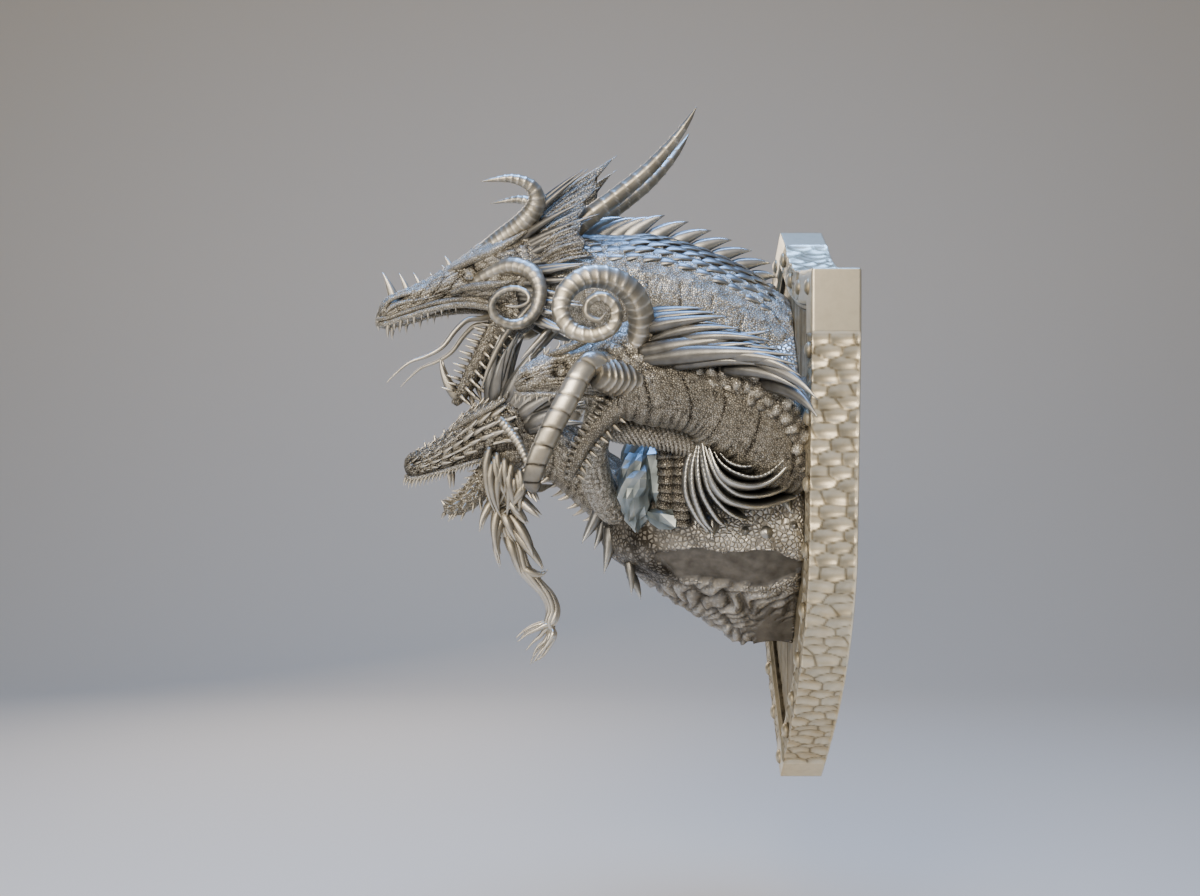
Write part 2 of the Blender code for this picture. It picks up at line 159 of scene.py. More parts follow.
def smooth_path(knots, count):
    """A Catmull-Rom curve through the knots' rows, resampled evenly by the length of its first
    three columns. Returns the rows and each row's distance along."""
    rows = np.asarray(knots, float)
    rows = np.vstack([2 * rows[0] - rows[1], rows, 2 * rows[-1] - rows[-2]])
    t = np.linspace(0, 1, CURVE_STEPS, endpoint=False)[:, None]
    pieces = []
    for a, b, c, d in zip(rows, rows[1:], rows[2:], rows[3:]):
        cubic = 2 * b + (c - a) * t + (2 * a - 5 * b + 4 * c - d) * t ** 2
        pieces.append(0.5 * (cubic + (3 * b - a - 3 * c + d) * t ** 3))
    path = np.vstack([*pieces, rows[-2][None]])
    steps = np.linalg.norm(np.diff(path[:, :3], axis=0), axis=1)
    reach = np.concatenate([[0], np.cumsum(steps)])
    along = np.linspace(0, reach[-1], count)
    columns = [np.interp(along, reach, path[:, column]) for column in range(path.shape[1])]
    return np.stack(columns, 1), along


def unit(vectors):
    """The vectors at length one."""
    return vectors / np.maximum(np.linalg.norm(vectors, axis=-1, keepdims=True), 1e-9)


def carried_frames(centre, up):
    """Tangent, side and up directions along a path, the up carried on with no twist."""
    tangent = unit(np.gradient(centre, axis=0))
    ups = np.zeros_like(centre)
    current = np.asarray(up, float)
    for row, direction in enumerate(tangent):
        current = current - direction * current.dot(direction)
        current = current / max(np.linalg.norm(current), 1e-9)
        ups[row] = current
    return tangent, np.cross(tangent, ups), ups


def sweep_line(knots, count, up):
    """The rows of a swept path and their distances along, its points as (x, y, z), and the
    directions carried along it. A knot with no half thickness is as thick as it is wide."""
    path, distance = smooth_path([(*knot, knot[3])[:5] for knot in knots], count)
    centre = path[:, :3] * TO_XYZ
    return path, distance, centre, carried_frames(centre, np.array(up, float) * TO_XYZ)


def grid_normals(grid):
    """Unit normals of a grid that wraps around in its second direction."""
    across = np.roll(grid, -1, axis=1) - np.roll(grid, 1, axis=1)
    return unit(np.cross(across, np.gradient(grid, axis=0)))


def shell(grid, tone):
    """A closed body from a grid that wraps around: quads, and a fan at each end. The faces are
    turned outward by the sign of the enclosed volume."""
    rows, columns = grid.shape[:2]
    ids = np.arange(rows * columns).reshape(rows, columns)
    following = np.roll(ids, -1, axis=1)
    quads = np.stack([ids[:-1], following[:-1], following[1:], ids[1:]], -1).reshape(-1, 4)
    first, last = rows * columns, rows * columns + 1
    start = np.stack([following[0], ids[0], np.full(columns, first)], -1)
    end = np.stack([ids[-1], following[-1], np.full(columns, last)], -1)
    verts = np.vstack([grid.reshape(-1, 3), grid[0].mean(0), grid[-1].mean(0)])
    tones = np.concatenate([np.broadcast_to(tone, (rows, columns)).ravel(),
                            [np.mean(tone[0]), np.mean(tone[-1])]])
    tris = np.vstack([start, end])
    a, b, c = verts[quads[:, 0]], verts[quads[:, 1]], verts[quads[:, 2]]
    d = verts[quads[:, 3]]
    volume = np.einsum("ij,ij->", a, np.cross(b, c)) + np.einsum("ij,ij->", a, np.cross(c, d))
    if volume < 0:
        quads, tris = quads[:, ::-1], tris[:, ::-1]
    return verts, quads, tris, tones


def tube(knots, along, around, up=(0, 0, 1), square=1.0, relief=None, tone=(0.5, 0.5), cut=None):
    """A body carried along a path of (sideways, forward, up, half width, half thickness) knots.

    The section is a superellipse: width * cos^square, thickness * sin^square. relief(distance,
    angle, share, width) gives the lift along the normal and the tone; with no relief the tone runs
    from the first value at the root to the second at the tip. cut(grid) moves finished points.
    """
    path, distance, centre, (_, side, ups) = sweep_line(knots, along, up)
    width = np.maximum(path[:, 3], 0.08)[:, None]
    thick = np.maximum(path[:, 4], 0.08)[:, None]
    angle = np.linspace(0, 2 * np.pi, around, endpoint=False)[None, :]
    across = width * np.sign(np.cos(angle)) * np.abs(np.cos(angle)) ** square
    upward = thick * np.sign(np.sin(angle)) * np.abs(np.sin(angle)) ** square
    grid = centre[:, None] + side[:, None] * across[..., None] + ups[:, None] * upward[..., None]
    share = np.linspace(0, 1, along)[:, None]
    if relief is None:
        tones = tone[0] + (tone[1] - tone[0]) * share
    else:
        lift, tones = relief(distance[:, None], angle, share, width)
        normals = grid_normals(grid)
        outward = np.sign(np.mean(np.einsum("ijk,ijk->ij", normals, grid - centre[:, None])))
        grid = grid + normals * outward * lift[..., None]
    if cut is not None:
        grid = cut(grid)
    return shell(grid, tones)


def smoothstep(low, high, value):
    """0 below low, 1 above high, and a smooth ramp between."""
    t = np.clip((value - low) / (high - low), 0, 1)
    return t * t * (3 - 2 * t)


def hashed(a, b, seed):
    """A repeatable number from 0 to 1 for each pair of whole numbers."""
    value = np.sin(a * 127.1 + b * 311.7 + seed * 74.7) * 43758.5453
    return value - np.floor(value)


def cells(a, b, columns, seed=0, lean=0.0):
    """Distances to the nearest and second nearest point of a jittered grid, and the cell's number.
    a counts cells along and b counts them around, where the pattern closes after columns. lean is
    how far a was sheared for each step of b, so that a half gives staggered rows."""
    nearest = np.full(np.broadcast(a, b).shape, 9.0)
    second = nearest.copy()
    number = np.zeros_like(nearest)
    for step_a in (-1, 0, 1):
        for step_b in (-1, 0, 1):
            cell_a = np.floor(a) + step_a
            cell_b = np.floor(b) + step_b
            wrapped = np.mod(cell_b, columns)
            off_a = a - cell_a - 0.25 - 0.5 * hashed(cell_a, wrapped, seed)
            off_b = b - cell_b - 0.25 - 0.5 * hashed(cell_a, wrapped, seed + 5)
            gap = np.hypot(off_a - lean * off_b, off_b)
            closer = gap < nearest
            second = np.where(closer, nearest, np.minimum(second, gap))
            number = np.where(closer, hashed(cell_a, wrapped, seed + 9), number)
            nearest = np.where(closer, gap, nearest)
    return nearest, second, number


def join(parts):
    """Several bodies as one set of arrays."""
    verts, quads, tris, tones = [], [], [], []
    start = 0
    for part_verts, part_quads, part_tris, part_tones in parts:
        verts.append(part_verts)
        quads.append(part_quads + start)
        tris.append(part_tris + start)
        tones.append(part_tones)
        start += len(part_verts)
    return np.vstack(verts), np.vstack(quads), np.vstack(tris), np.concatenate(tones)


def piece(name, parts, material, node="dragon_bust", far=False, smooth=True):
    """One finished object from its bodies; far puts it on the other side of the middle plane."""
    verts, quads, tris, tones = join(parts)
    if far:
        verts, quads, tris = verts * (-1, 1, 1), quads[:, ::-1], tris[:, ::-1]
    mesh = bpy.data.meshes.new(name)
    mesh.vertices.add(len(verts))
    mesh.vertices.foreach_set("co", (verts * MM).ravel())
    mesh.loops.add(quads.size + tris.size)
    mesh.loops.foreach_set("vertex_index", np.concatenate([quads.ravel(), tris.ravel()]))
    mesh.polygons.add(len(quads) + len(tris))
    starts = np.concatenate([np.arange(len(quads)) * 4, quads.size + np.arange(len(tris)) * 3])
    mesh.polygons.foreach_set("loop_start", starts)
    mesh.polygons.foreach_set("use_smooth", np.full(len(starts), smooth))
    layer = mesh.attributes.new("tone", "FLOAT", "POINT")
    layer.data.foreach_set("value", np.clip(tones, 0, 1))
    mesh.materials.append(material)
    mesh.update(calc_edges=True)
    made = bpy.data.objects.new(name, mesh)
    bpy.context.scene.collection.objects.link(made)
    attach(made, "root")
    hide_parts(node)
    return made


def both_sides(name, parts, material, smooth=True):
    """The same piece near the camera and mirrored on the far side."""
    piece(name + "_near", parts, material, smooth=smooth)
    piece(name + "_far", parts, material, far=True, smooth=smooth)


def aged_metal(name, deep, middle, bright, roughness=0.36, grain=0.10, net=0.0, size=1.6):
    """Antiqued cast metal: the tone picks the colour from patina to rubbed metal, a cloudy noise
    varies it, and fine casting grain roughens it. net sinks and darkens the lines of a net with
    meshes of size millimetres, except where the points are marked plain."""
    material, tree, shader = new_material(name)
    place = add_node(tree, "ShaderNodeTexCoord").outputs["Object"]
    cloud = add_node(tree, "ShaderNodeTexNoise",
                     {"Vector": place, "Scale": 1 / (CLOUD_SIZE * MM), "Detail": 4.0})
    sand = add_node(tree, "ShaderNodeTexNoise",
                    {"Vector": place, "Scale": 1 / (GRAIN_SIZE * MM), "Detail": 3.0})
    tone = add_node(tree, "ShaderNodeAttribute", attribute_name="tone").outputs["Fac"]
    shifted = add_node(tree, "ShaderNodeMath", {0: cloud.outputs["Fac"], 1: 0.36, 2: -0.18},
                       operation="MULTIPLY_ADD").outputs[0]
    total = add_node(tree, "ShaderNodeMath", {0: tone, 1: shifted}, operation="ADD").outputs[0]
    mesh = add_node(tree, "ShaderNodeTexVoronoi", {"Vector": place, "Scale": 1 / (size * MM)},
                    feature="DISTANCE_TO_EDGE").outputs["Distance"]
    plain = add_node(tree, "ShaderNodeAttribute", attribute_name="plain").outputs["Fac"]
    bead = add_node(tree, "ShaderNodeMapRange", {"Value": mesh, "From Max": 0.22}).outputs["Result"]
    bead = add_node(tree, "ShaderNodeMath", {0: bead, 1: plain}, operation="MAXIMUM").outputs[0]
    sunk = add_node(tree, "ShaderNodeMath", {0: bead, 1: net, 2: -0.66 * net}, operation="MULTIPLY_ADD")
    total = add_node(tree, "ShaderNodeMath", {0: total, 1: sunk.outputs[0]}, operation="ADD").outputs[0]
    ramp = add_node(tree, "ShaderNodeValToRGB", {"Fac": total})
    stops = ramp.color_ramp.elements
    stops[0].position, stops[0].color = 0.08, linear(deep)
    stops[1].position, stops[1].color = 0.92, linear(bright)
    stop = stops.new(0.5)
    stop.color = linear(middle)
    tree.links.new(ramp.outputs["Color"], shader.inputs["Base Color"])
    shine = add_node(tree, "ShaderNodeMapRange",
                     {"Value": total, "From Min": 0.1, "From Max": 0.9, "To Min": roughness + 0.22,
                      "To Max": roughness})
    tree.links.new(shine.outputs["Result"], shader.inputs["Roughness"])
    shader.inputs["Metallic"].default_value = METALLIC
    bump = add_node(tree, "ShaderNodeBump",
                    {"Height": sand.outputs["Fac"], "Strength": grain, "Distance": 0.4 * MM})
    beaded = add_node(tree, "ShaderNodeBump",
                      {"Height": bead, "Strength": min(1.0, 2.2 * net), "Distance": 0.25 * size * MM,
                       "Normal": bump.outputs["Normal"]})
    tree.links.new(beaded.outputs["Normal"], shader.inputs["Normal"])
    return material


# Cast metal with an aged pewter finish, blackened and rubbed back: dull and brown in the hollows,
# satin and bright on what stands out. Hide and pebbles show a net of small beads. Horns are smoother
# and warmer, blades greyer and shinier, shards duller and tinted cool, a painted reflection of the
# cool light from above, and the plaque yellower and sandier.
hide_metal = aged_metal("aged_pewter_hide", "2e2a24", "938e81", "d6d2c6", net=0.4)
pebble_metal = aged_metal("aged_pewter_pebbles", "2e2a23", "97938a", "e2dfd4", net=0.34, size=3.6)
horn_metal = aged_metal("aged_pewter_horn", "3a352c", "a7a192", "dfdacd", 0.30, 0.06)
# The shards' cool tint is a painted reflection of the cool light from above.
shard_metal_cool_reflection = aged_metal("aged_pewter_shard_cool_reflection", "3f4241", "7d8788", "b4bcbc", 0.40, 0.10)
blade_metal = aged_metal("aged_pewter_blades", "2b2925", "868580", "ccccc6", 0.24, 0.06)
plaque_metal = aged_metal("aged_pewter_plaque", "2c261b", "a79c82", "e6dcc2", 0.38, 0.12)

# The shield plaque.
# The cast shield that carries the dragon on the wall. One closed shell makes its back, hammered edge,
# rim, corner caps and inner strip; planks fill its front field and domed studs stand on the rim.
PLAQUE_HIGH = 450.0
PLAQUE_WIDE = 350.0
PLAQUE_THICK = 35.0
BOARD_LEVEL = 29.0
RIM_WIDTH = 24.0
STRIP_WIDTH = 5.0
CAP_RISE = 0.8
BOARD_WIDTH = 38.0
BOARD_UNDERSIDE = 24.0
BOARD_JOINT = 1.2
STUD_PITCH = 48.0
STUD_RADIUS = 6.3
STUD_RISE = 3.9
CAP_LIMITS = {"crest": 210.4, "ear": 128.5, "ear_side": 115.0, "tip": -210.0}
DIMPLE_LONG = 9.5
DIMPLE_WIDE = 19.0
DIMPLE_DEPTH = 6.5
CREASE_HEIGHT = 0.40
SHELL_SPACING = 1.5
PLANK_COLUMNS = 26
PLANK_ROWS = 60
GRAIN_DEPTH = 0.35
STUD_COLUMNS = 20


def shield_corners():
    """The outline clockwise from the crest as (x, z), with the far half mirrored. The curve's last
    points before the ear are left out, so that the outline moved inward doesn't turn over there."""
    half_wide, half_high = PLAQUE_WIDE / 2, PLAQUE_HIGH / 2

    def bend(start, pull_a, pull_b, end, count):
        t = np.linspace(0, 1, count + 1)[1:, None]
        start, pull_a, pull_b, end = map(np.array, (start, pull_a, pull_b, end))
        return ((1 - t) ** 3 * start + 3 * t * (1 - t) ** 2 * pull_a
                + 3 * t * t * (1 - t) * pull_b + t ** 3 * end)

    shoulder, ear, flank, tip_shoulder = (0.163, 0.935), (1.0, 0.771), (0.917, -0.16), (0.114, -0.932)
    half = np.vstack([
        [(0.0, 1.0), shoulder], bend(shoulder, (0.33, 0.83), (0.62, 0.79), ear, 21)[:-4],
        [ear, (0.998, 0.573), flank], bend(flank, (0.80, -0.50), (0.46, -0.72), tip_shoulder, 36),
        [(0.0, -1.0)]])
    near = half * (half_wide, half_high)
    far = near[-2:0:-1] * (-1, 1)
    return np.vstack([near, far])


def shield_rings(spacing):
    """Points every spacing or less along the outline, each with its inward mitre, so that the
    outline inset by d is points + mitres * d."""
    corners = shield_corners()
    before = unit(corners - np.roll(corners, 1, axis=0))
    after = unit(np.roll(corners, -1, axis=0) - corners)
    inward_before = np.stack([before[:, 1], -before[:, 0]], 1)
    inward_after = np.stack([after[:, 1], -after[:, 0]], 1)
    mitre = unit(inward_before + inward_after)
    mitre = mitre / np.maximum(0.35, np.einsum("ij,ij->i", mitre, inward_after))[:, None]
    points, mitres = [], []
    for index in range(len(corners)):
        following = (index + 1) % len(corners)
        length = np.linalg.norm(corners[following] - corners[index])
        t = np.linspace(0, 1, max(2, int(np.ceil(length / spacing)) + 1))[:-1, None]
        points.append(corners[index] * (1 - t) + corners[following] * t)
        mitres.append(mitre[index] * (1 - t) + mitre[following] * t)
    return np.vstack(points), np.vstack(mitres)


def make_plaque_shell():
    """The shell: the outline carried through (inset, level) steps from the back's middle round the
    edge to under the planks, with hammered dimples between the smooth corner caps."""
    points, mitres = shield_rings(SHELL_SPACING)
    edge_levels = np.concatenate([[0.0, 0.25, 0.8], np.linspace(2, 33, 28), [34.2, 34.75, 35.0]])
    edge_insets = np.zeros_like(edge_levels)
    edge_insets[[0, 1, -2, -1]] = (0.8, 0.25, 0.25, 0.8)
    rim_insets = np.linspace(2, 22.5, 11)
    inner = [(23.5, 35.0), (24.0, 34.6), (24.1, 32.2), (24.6, 31.9), (25.6, 32.3), (27.2, 32.4),
             (28.4, 31.9), (28.9, 31.0), (29.0, 28.6), (31.0, 26.5)]
    insets = np.concatenate([[10.0, 10.0], edge_insets, rim_insets, [i for i, _ in inner]])
    rim_levels = np.full(len(rim_insets), PLAQUE_THICK)
    levels = np.concatenate([[0.0, 0.0], edge_levels, rim_levels, [h for _, h in inner]])
    steps = np.hypot(np.diff(insets), np.diff(levels))
    around = np.concatenate([[0], np.cumsum(steps)])[:, None]
    run = np.linalg.norm(np.roll(points, -1, axis=0) - points, axis=1)
    along = np.concatenate([[0], np.cumsum(run)[:-1]])[None, :]
    x, z = points[:, 0], points[:, 1]
    ear = (z > CAP_LIMITS["ear"]) & (np.abs(x) > CAP_LIMITS["ear_side"])
    cap = ((z > CAP_LIMITS["crest"]) | (z < CAP_LIMITS["tip"]) | ear)[None, :]
    nearest, second, number = cells(around / DIMPLE_WIDE + 0.5 * along / DIMPLE_LONG, along / DIMPLE_LONG,
                                    round(float(along.max() + run[-1]) / DIMPLE_LONG), 3, 0.5)
    bowl = np.minimum(nearest ** 2, 0.5)
    crease = np.exp(-((second - nearest) / 0.09) ** 2)
    insets, levels = insets[:, None], levels[:, None]
    outside = insets < 23
    hammered = ~cap * (levels > 0.9) * outside
    raised = CAP_RISE * cap * (levels > 0.5) * outside
    lift = hammered * (DIMPLE_DEPTH * bowl - CREASE_HEIGHT * crease - 2.2 + 0.6 * number) + raised
    on_front = smoothstep(0.5, 3.0, insets) * (levels > 20)
    inset = insets - lift * (1 - on_front)
    level = levels + lift * on_front
    flat = points[None] + mitres[None] * inset[..., None]
    grid = np.stack([flat[..., 0], -np.broadcast_to(level, flat.shape[:2]), flat[..., 1]], -1)
    grid[0] = 0.4 * grid[1]
    # The dark lines at the creases between dimples are partly patina in the grooves and partly painted
    # shadow lines.
    tone = np.where(hammered > 0, 0.74 - 0.42 * crease, 0.9)
    tone = np.where(insets > 23.6, 0.15 + 0.45 * (levels > 31.9), tone)
    tone = np.where(levels < 0.1, 0.42, tone)
    piece("plaque_shell", [shell(grid, tone)], plaque_metal, "shield_plaque")


def field_span(x):
    """The lowest and highest z of the front field at x, from the outline inset past the strip."""
    points, mitres = shield_rings(3.0)
    field = points + mitres * (RIM_WIDTH + STRIP_WIDTH - 1.0)
    near = field[: len(field) // 2 + 1]
    ear = np.argmax(near.sum(axis=1))
    top, low = near[:ear + 1], near[:ear - 1:-1]
    return np.interp(x, low[:, 0], low[:, 1]), np.interp(x, top[:, 0], top[:, 1])


def make_planks():
    """Upright planks with rounded edges and a wavy grain, from the field's foot to its top."""
    planks = []
    half_field = PLAQUE_WIDE / 2 - RIM_WIDTH - STRIP_WIDTH
    count = int(np.ceil(half_field / BOARD_WIDTH))
    for number in range(-count, count):
        left = max(number * BOARD_WIDTH, -half_field) + BOARD_JOINT / 2
        right = min((number + 1) * BOARD_WIDTH, half_field) - BOARD_JOINT / 2
        across = np.linspace(0, 1, PLANK_COLUMNS)
        front = BOARD_LEVEL - 1.6 * np.exp(-np.minimum(across, 1 - across) * (right - left) / 1.3)
        x = np.concatenate([left + across * (right - left), [right, left]])
        level = np.concatenate([front, [BOARD_UNDERSIDE] * 2])
        low_z, high_z = field_span(np.abs(x))
        share = np.linspace(0, 1, PLANK_ROWS)[:, None]
        z = low_z + (high_z - low_z) * share
        grain = np.sin(x / 1.9 + 2.2 * np.sin(z / 47 + number) + number) * np.sin(x / 0.8 + z / 90)
        face = np.concatenate([np.ones(PLANK_COLUMNS), [0, 0]]) * smoothstep(0, 1.5, level - 27.2)
        grid = np.stack([np.broadcast_to(x, z.shape), -(level + GRAIN_DEPTH * grain * face), z], -1)
        planks.append(shell(grid, 0.42 + 0.2 * grain * face - 0.4 * (1 - face)))
    piece("plaque_planks", planks, plaque_metal, "shield_plaque")


def stud(x, z):
    """A low dome on the rim, with its root just under the rim's face."""
    turn = np.linspace(0, np.pi / 2, 7)[:-1]
    ring = STUD_RADIUS * np.concatenate([[1, 1.02], np.cos(turn) * 0.98])[:, None]
    out = np.concatenate([[-1.0, 0.3], STUD_RISE * np.sin(turn)])[:, None]
    angle = np.linspace(0, 2 * np.pi, STUD_COLUMNS, endpoint=False)
    level = np.broadcast_to(PLAQUE_THICK + out, (len(out), len(angle)))
    grid = np.stack([x + ring * np.cos(angle), -level, z + ring * np.sin(angle)], -1)
    return shell(grid, np.linspace(0.25, 0.8, len(ring))[:, None])


def make_studs():
    """Domed studs along the middle of the rim."""
    points, mitres = shield_rings(0.5)
    path = points + mitres * RIM_WIDTH / 2
    run = np.linalg.norm(np.diff(np.vstack([path, path[:1]]), axis=0), axis=1)
    reach = np.concatenate([[0], np.cumsum(run)])
    count = round(reach[-1] / STUD_PITCH)
    wanted = (np.arange(count) + 0.5) * reach[-1] / count
    places = [path[np.searchsorted(reach, place) % len(path)] for place in wanted]
    piece("plaque_studs", [stud(x, z) for x, z in places], plaque_metal, "shield_plaque")


make_plaque_shell()
make_planks()
make_studs()

# The chest.
# A cast block of level slices, seated on the boards, with pebbled hide. Flat planes cut it off under
# each flank and at its foot, as on the casting, and it is wrinkled below the cuts.
CHEST_LEVELS = [
    (-111, 74, 37), (-100, 88, 43), (-80, 120, 54), (-58, 152, 76), (-35, 180, 95), (0, 182, 95),
    (30, 160, 93), (52, 136, 87), (86, 106, 77), (112, 80, 63), (138, 50, 40),
]
CHEST_ROWS = 200
CHEST_SQUARE = 0.8
SWELL_SIZE = 26
WRINKLED_BELOW = (-56, -66)
WRINKLE_PITCH = 8
WRINKLE_COLUMNS = 16
WRINKLE_HEIGHT = 4.0
# Reaches forward over which painted shade comes in on the chest's front.
SHADED_FRONT_REACH = (95, 145)
FLANK_NORMAL = (0.80, 0.0, -0.59)
FLANK_CUT = ((90.5, -70.0, -35.0), FLANK_NORMAL)
FRONT_CUT = ((85.3, -109.0, -30.5), (0.72, -0.20, -0.66))
FOOT_CUT = ((47.0, -50.0, -90.0), FLANK_NORMAL)
FOOT_TOP = -80
FOOT_REACH = 84
CUT_TOP = ((28, 33, 56, 91, 109, 146), (-40, -40, -31, -34, -30, -36))
CUT_FOOT = ((28, 33, 57, 94, 124, 134, 146), (-53, -53, -62, -60, -57, -46, -36))
# The flat cuts' dark tone is painted shade on faces that turn downward.
CUT_SHADE_TONE = 0.16
SEAT = BOARD_LEVEL + 0.4


def ripple(grid, size, seed):
    """A smooth uneven height from -1 to 1 that varies over about size millimetres: the mean of
    sine waves in seeded directions."""
    source = np.random.default_rng(seed)
    total = 0.0
    for _ in range(5):
        direction = unit(source.normal(size=3)) * 2 * np.pi / size * source.uniform(0.6, 1.5)
        total = total + np.sin(grid @ direction + source.uniform(0, 6.28))
    return total / 3


def make_chest():
    """Superellipse slices carried up the levels, with pebbles, net hide and wrinkles as relief."""
    levels, _ = smooth_path([(0, 0, up, reach, wide) for up, reach, wide in CHEST_LEVELS], CHEST_ROWS)
    hidden = np.linspace(np.pi, 2 * np.pi, 12)[1:-1]
    angle = np.concatenate([np.linspace(0, np.pi, CHEST_ROWS), hidden])[None, :]
    up, reach, wide = levels[:, 2:].T[..., None]
    across = wide * np.sign(np.cos(angle)) * np.abs(np.cos(angle)) ** CHEST_SQUARE
    out = SEAT + (reach - SEAT) * np.maximum(np.sin(angle), 0) ** CHEST_SQUARE
    grid = np.stack([across, -out, up + 0 * across], -1)
    normals = grid_normals(grid)
    outward = np.sign(np.mean(np.einsum("ijk,ijk->ij", normals, grid - np.array([0, -60, 0]))))
    girth = angle / (2 * np.pi)
    low = smoothstep(*WRINKLED_BELOW, up + 5 * ripple(grid, 45, 9))
    slanted = (up + 0.4 * out) / WRINKLE_PITCH + 0.9 * ripple(grid, 45, 8)
    near, second, number = cells(slanted, girth * WRINKLE_COLUMNS, WRINKLE_COLUMNS, 7)
    fold = smoothstep(0.0, 0.45, second - near)
    wrinkled = WRINKLE_HEIGHT * fold + 1.2 * ripple(grid, 16, 4) - 1.0
    lift = wrinkled * low + (1.0 + 1.3 * ripple(grid, SWELL_SIZE, 5)) * (1 - low)
    # Painted shade: the tone is darkened on the chest's front, where it reaches far forward.
    front = smoothstep(*SHADED_FRONT_REACH, out) * (1 - low)
    tone = (0.66 + 0.12 * ripple(grid, 30, 12)) * (1 - low) + (0.11 + 0.34 * fold + 0.12 * number) * low
    tone = tone - 0.42 * front
    grid = grid + normals * outward * lift[..., None]
    plain = np.maximum(0.75 * low, 0.45 * front)
    flank = (grid[..., 2] < np.interp(out, *CUT_TOP)) & (grid[..., 2] > np.interp(out, *CUT_FOOT))
    foot = (grid[..., 2] < FOOT_TOP) & (out < FOOT_REACH)
    # Each cut flattens what lies past its plane and gives it the dark cut tone, painted shade on a face
    # that turns downward.
    for (point, normal), region in ((FLANK_CUT, flank), (FRONT_CUT, flank), (FOOT_CUT, foot)):
        for side in ((1, 1, 1), (-1, 1, 1)):
            slope = unit(np.array(normal)) * side
            past = (grid - np.array(point) * side) @ slope
            inside = region & (past > 0)
            grid = grid - slope * np.where(inside, past, 0)[..., None]
            tone = np.where(inside, CUT_SHADE_TONE, tone)
            plain = np.where(inside, 1.0, plain)
    grid[..., 1] = np.minimum(grid[..., 1], -SEAT)
    made = piece("chest_hide", [shell(grid, tone)], pebble_metal)
    layer = made.data.attributes.new("plain", "FLOAT", "POINT")
    layer.data.foreach_set("value", np.concatenate([plain.ravel(), [0, 0]]))


make_chest()

# The necks.
# Each is one cast hide that joins its head to the chest or the boards: shingled scales along the
# back, plates and fine net scales on the sides, and cross scutes under the belly.
TOP_NECK = [
    (0, 20, 96, 47, 47), (0, 52, 127, 46, 46), (0, 85, 152, 45, 44), (0, 118, 168, 44, 43),
    (0, 152, 177, 43, 42), (0, 185, 179, 41, 41), (0, 214, 183, 38, 39), (0, 240, 188, 34, 35),
]
LOW_NECK = [
    (0, 60, -32, 40, 36), (0, 92, -28, 38, 33), (0, 124, -20, 34, 29), (2, 156, -4, 31, 26),
    (3, 185, 17, 28, 24), (2, 210, 38, 26, 23), (0, 235, 54, 25, 23), (0, 258, 62, 22, 22),
]
SIDE_NECK = [
    (98, 32, 56, 43, 43), (106, 60, 60, 42, 43), (113, 82, 73, 39, 38), (118, 102, 86, 34, 32),
    (122, 124, 92, 32, 30), (124, 146, 95, 31, 30), (124, 166, 101, 30, 30),
]
BLADE_PITCH = 13
PLATE_PITCH = 10
CREASE_PITCH = 27


def shingles(a, b, overlap=1.7):
    """Height from 0 to 1 of scales that overlap like roof shingles. a counts rows, b counts scales
    in a row; each is a tongue that rises to its free tip, overlap rows on, and the highest wins."""
    best = np.zeros(np.broadcast(a, b).shape)
    for back in (0, 1):
        row = np.floor(a) - back
        reach = (a - row) / overlap
        off = b + 0.5 * np.mod(row, 2)
        off = off - np.floor(off) - 0.5
        half = 0.56 * np.sqrt(np.clip(1 - reach ** 3, 0, 1)) + 1e-6
        dome = 1 - 0.45 * (off / half) ** 2
        best = np.maximum(best, np.where(np.abs(off) < half, (0.2 + 0.8 * reach) * dome, 0))
    return best


def neck_relief(back_columns, net_size, scute_pitch, brighter=0.0):
    """The relief of a neck whose up side is at a quarter turn: shingles above, net scales beside
    and scutes beneath, blended by the height on the section. brighter is added to the tone."""
    def relief(distance, angle, share, width):
        height = np.sin(angle)
        turn = angle / (2 * np.pi)
        scale = shingles(distance / BLADE_PITCH, turn * back_columns * 4)
        plate = shingles(distance / PLATE_PITCH, turn * back_columns * 3)
        net_columns = round(2 * np.pi * float(width.mean()) / net_size)
        near, second, number = cells(distance / net_size, turn * net_columns, net_columns, 11)
        net = smoothstep(0.02, 0.30, second - near)
        saw = distance / scute_pitch - np.floor(distance / scute_pitch)
        scute = np.sqrt(np.clip(1 - saw ** 6, 0, 1)) * (0.35 + 0.65 * saw)
        crease = np.exp(-((distance / CREASE_PITCH + 0.3 * np.sin(angle * 2)) % 1 - 0.5) ** 2 / 0.0012)
        above = smoothstep(0.42, 0.55, height)
        below = smoothstep(-0.62, -0.80, height)
        band = smoothstep(0.16, 0.24, height) * (1 - above)
        beside = 1 - above - below - band
        lift = (3.6 * scale * above + 1.8 * plate * band + (0.5 * net - 0.9 * crease) * beside
                + 2.6 * scute * below)
        tone = ((0.3 + 0.45 * scale) * above + (0.1 + 0.6 * plate) * band + (0.1 + 0.65 * scute) * below
                + (0.34 + 0.16 * net + 0.1 * number - 0.3 * crease) * beside)
        return lift, tone + brighter
    return relief


def seat_cut(grid):
    """Flatten what would pass into the boards."""
    grid = grid.copy()
    grid[..., 1] = np.minimum(grid[..., 1], -SEAT)
    return grid


def make_necks():
    """The three hides, each carried from its head back to the chest or the boards."""
    top = tube(TOP_NECK[::-1], 190, 170, relief=neck_relief(6, 3.4, 9, 0.2), cut=seat_cut)
    low = tube(LOW_NECK[::-1], 120, 110, relief=neck_relief(5, 2.6, 7))
    side = tube(SIDE_NECK[::-1], 115, 130, relief=neck_relief(8, 2.8, 7, -0.05), cut=seat_cut)
    piece("top_neck_hide", [top], hide_metal)
    piece("low_neck_hide", [low], hide_metal)
    both_sides("side_neck_hide", [side], hide_metal)


make_necks()

# Small horned shapes.
# Teeth, spikes, blades, locks and strands are tapering sweeps between two points, cast in one with
# what they grow from and sunk a little into it.


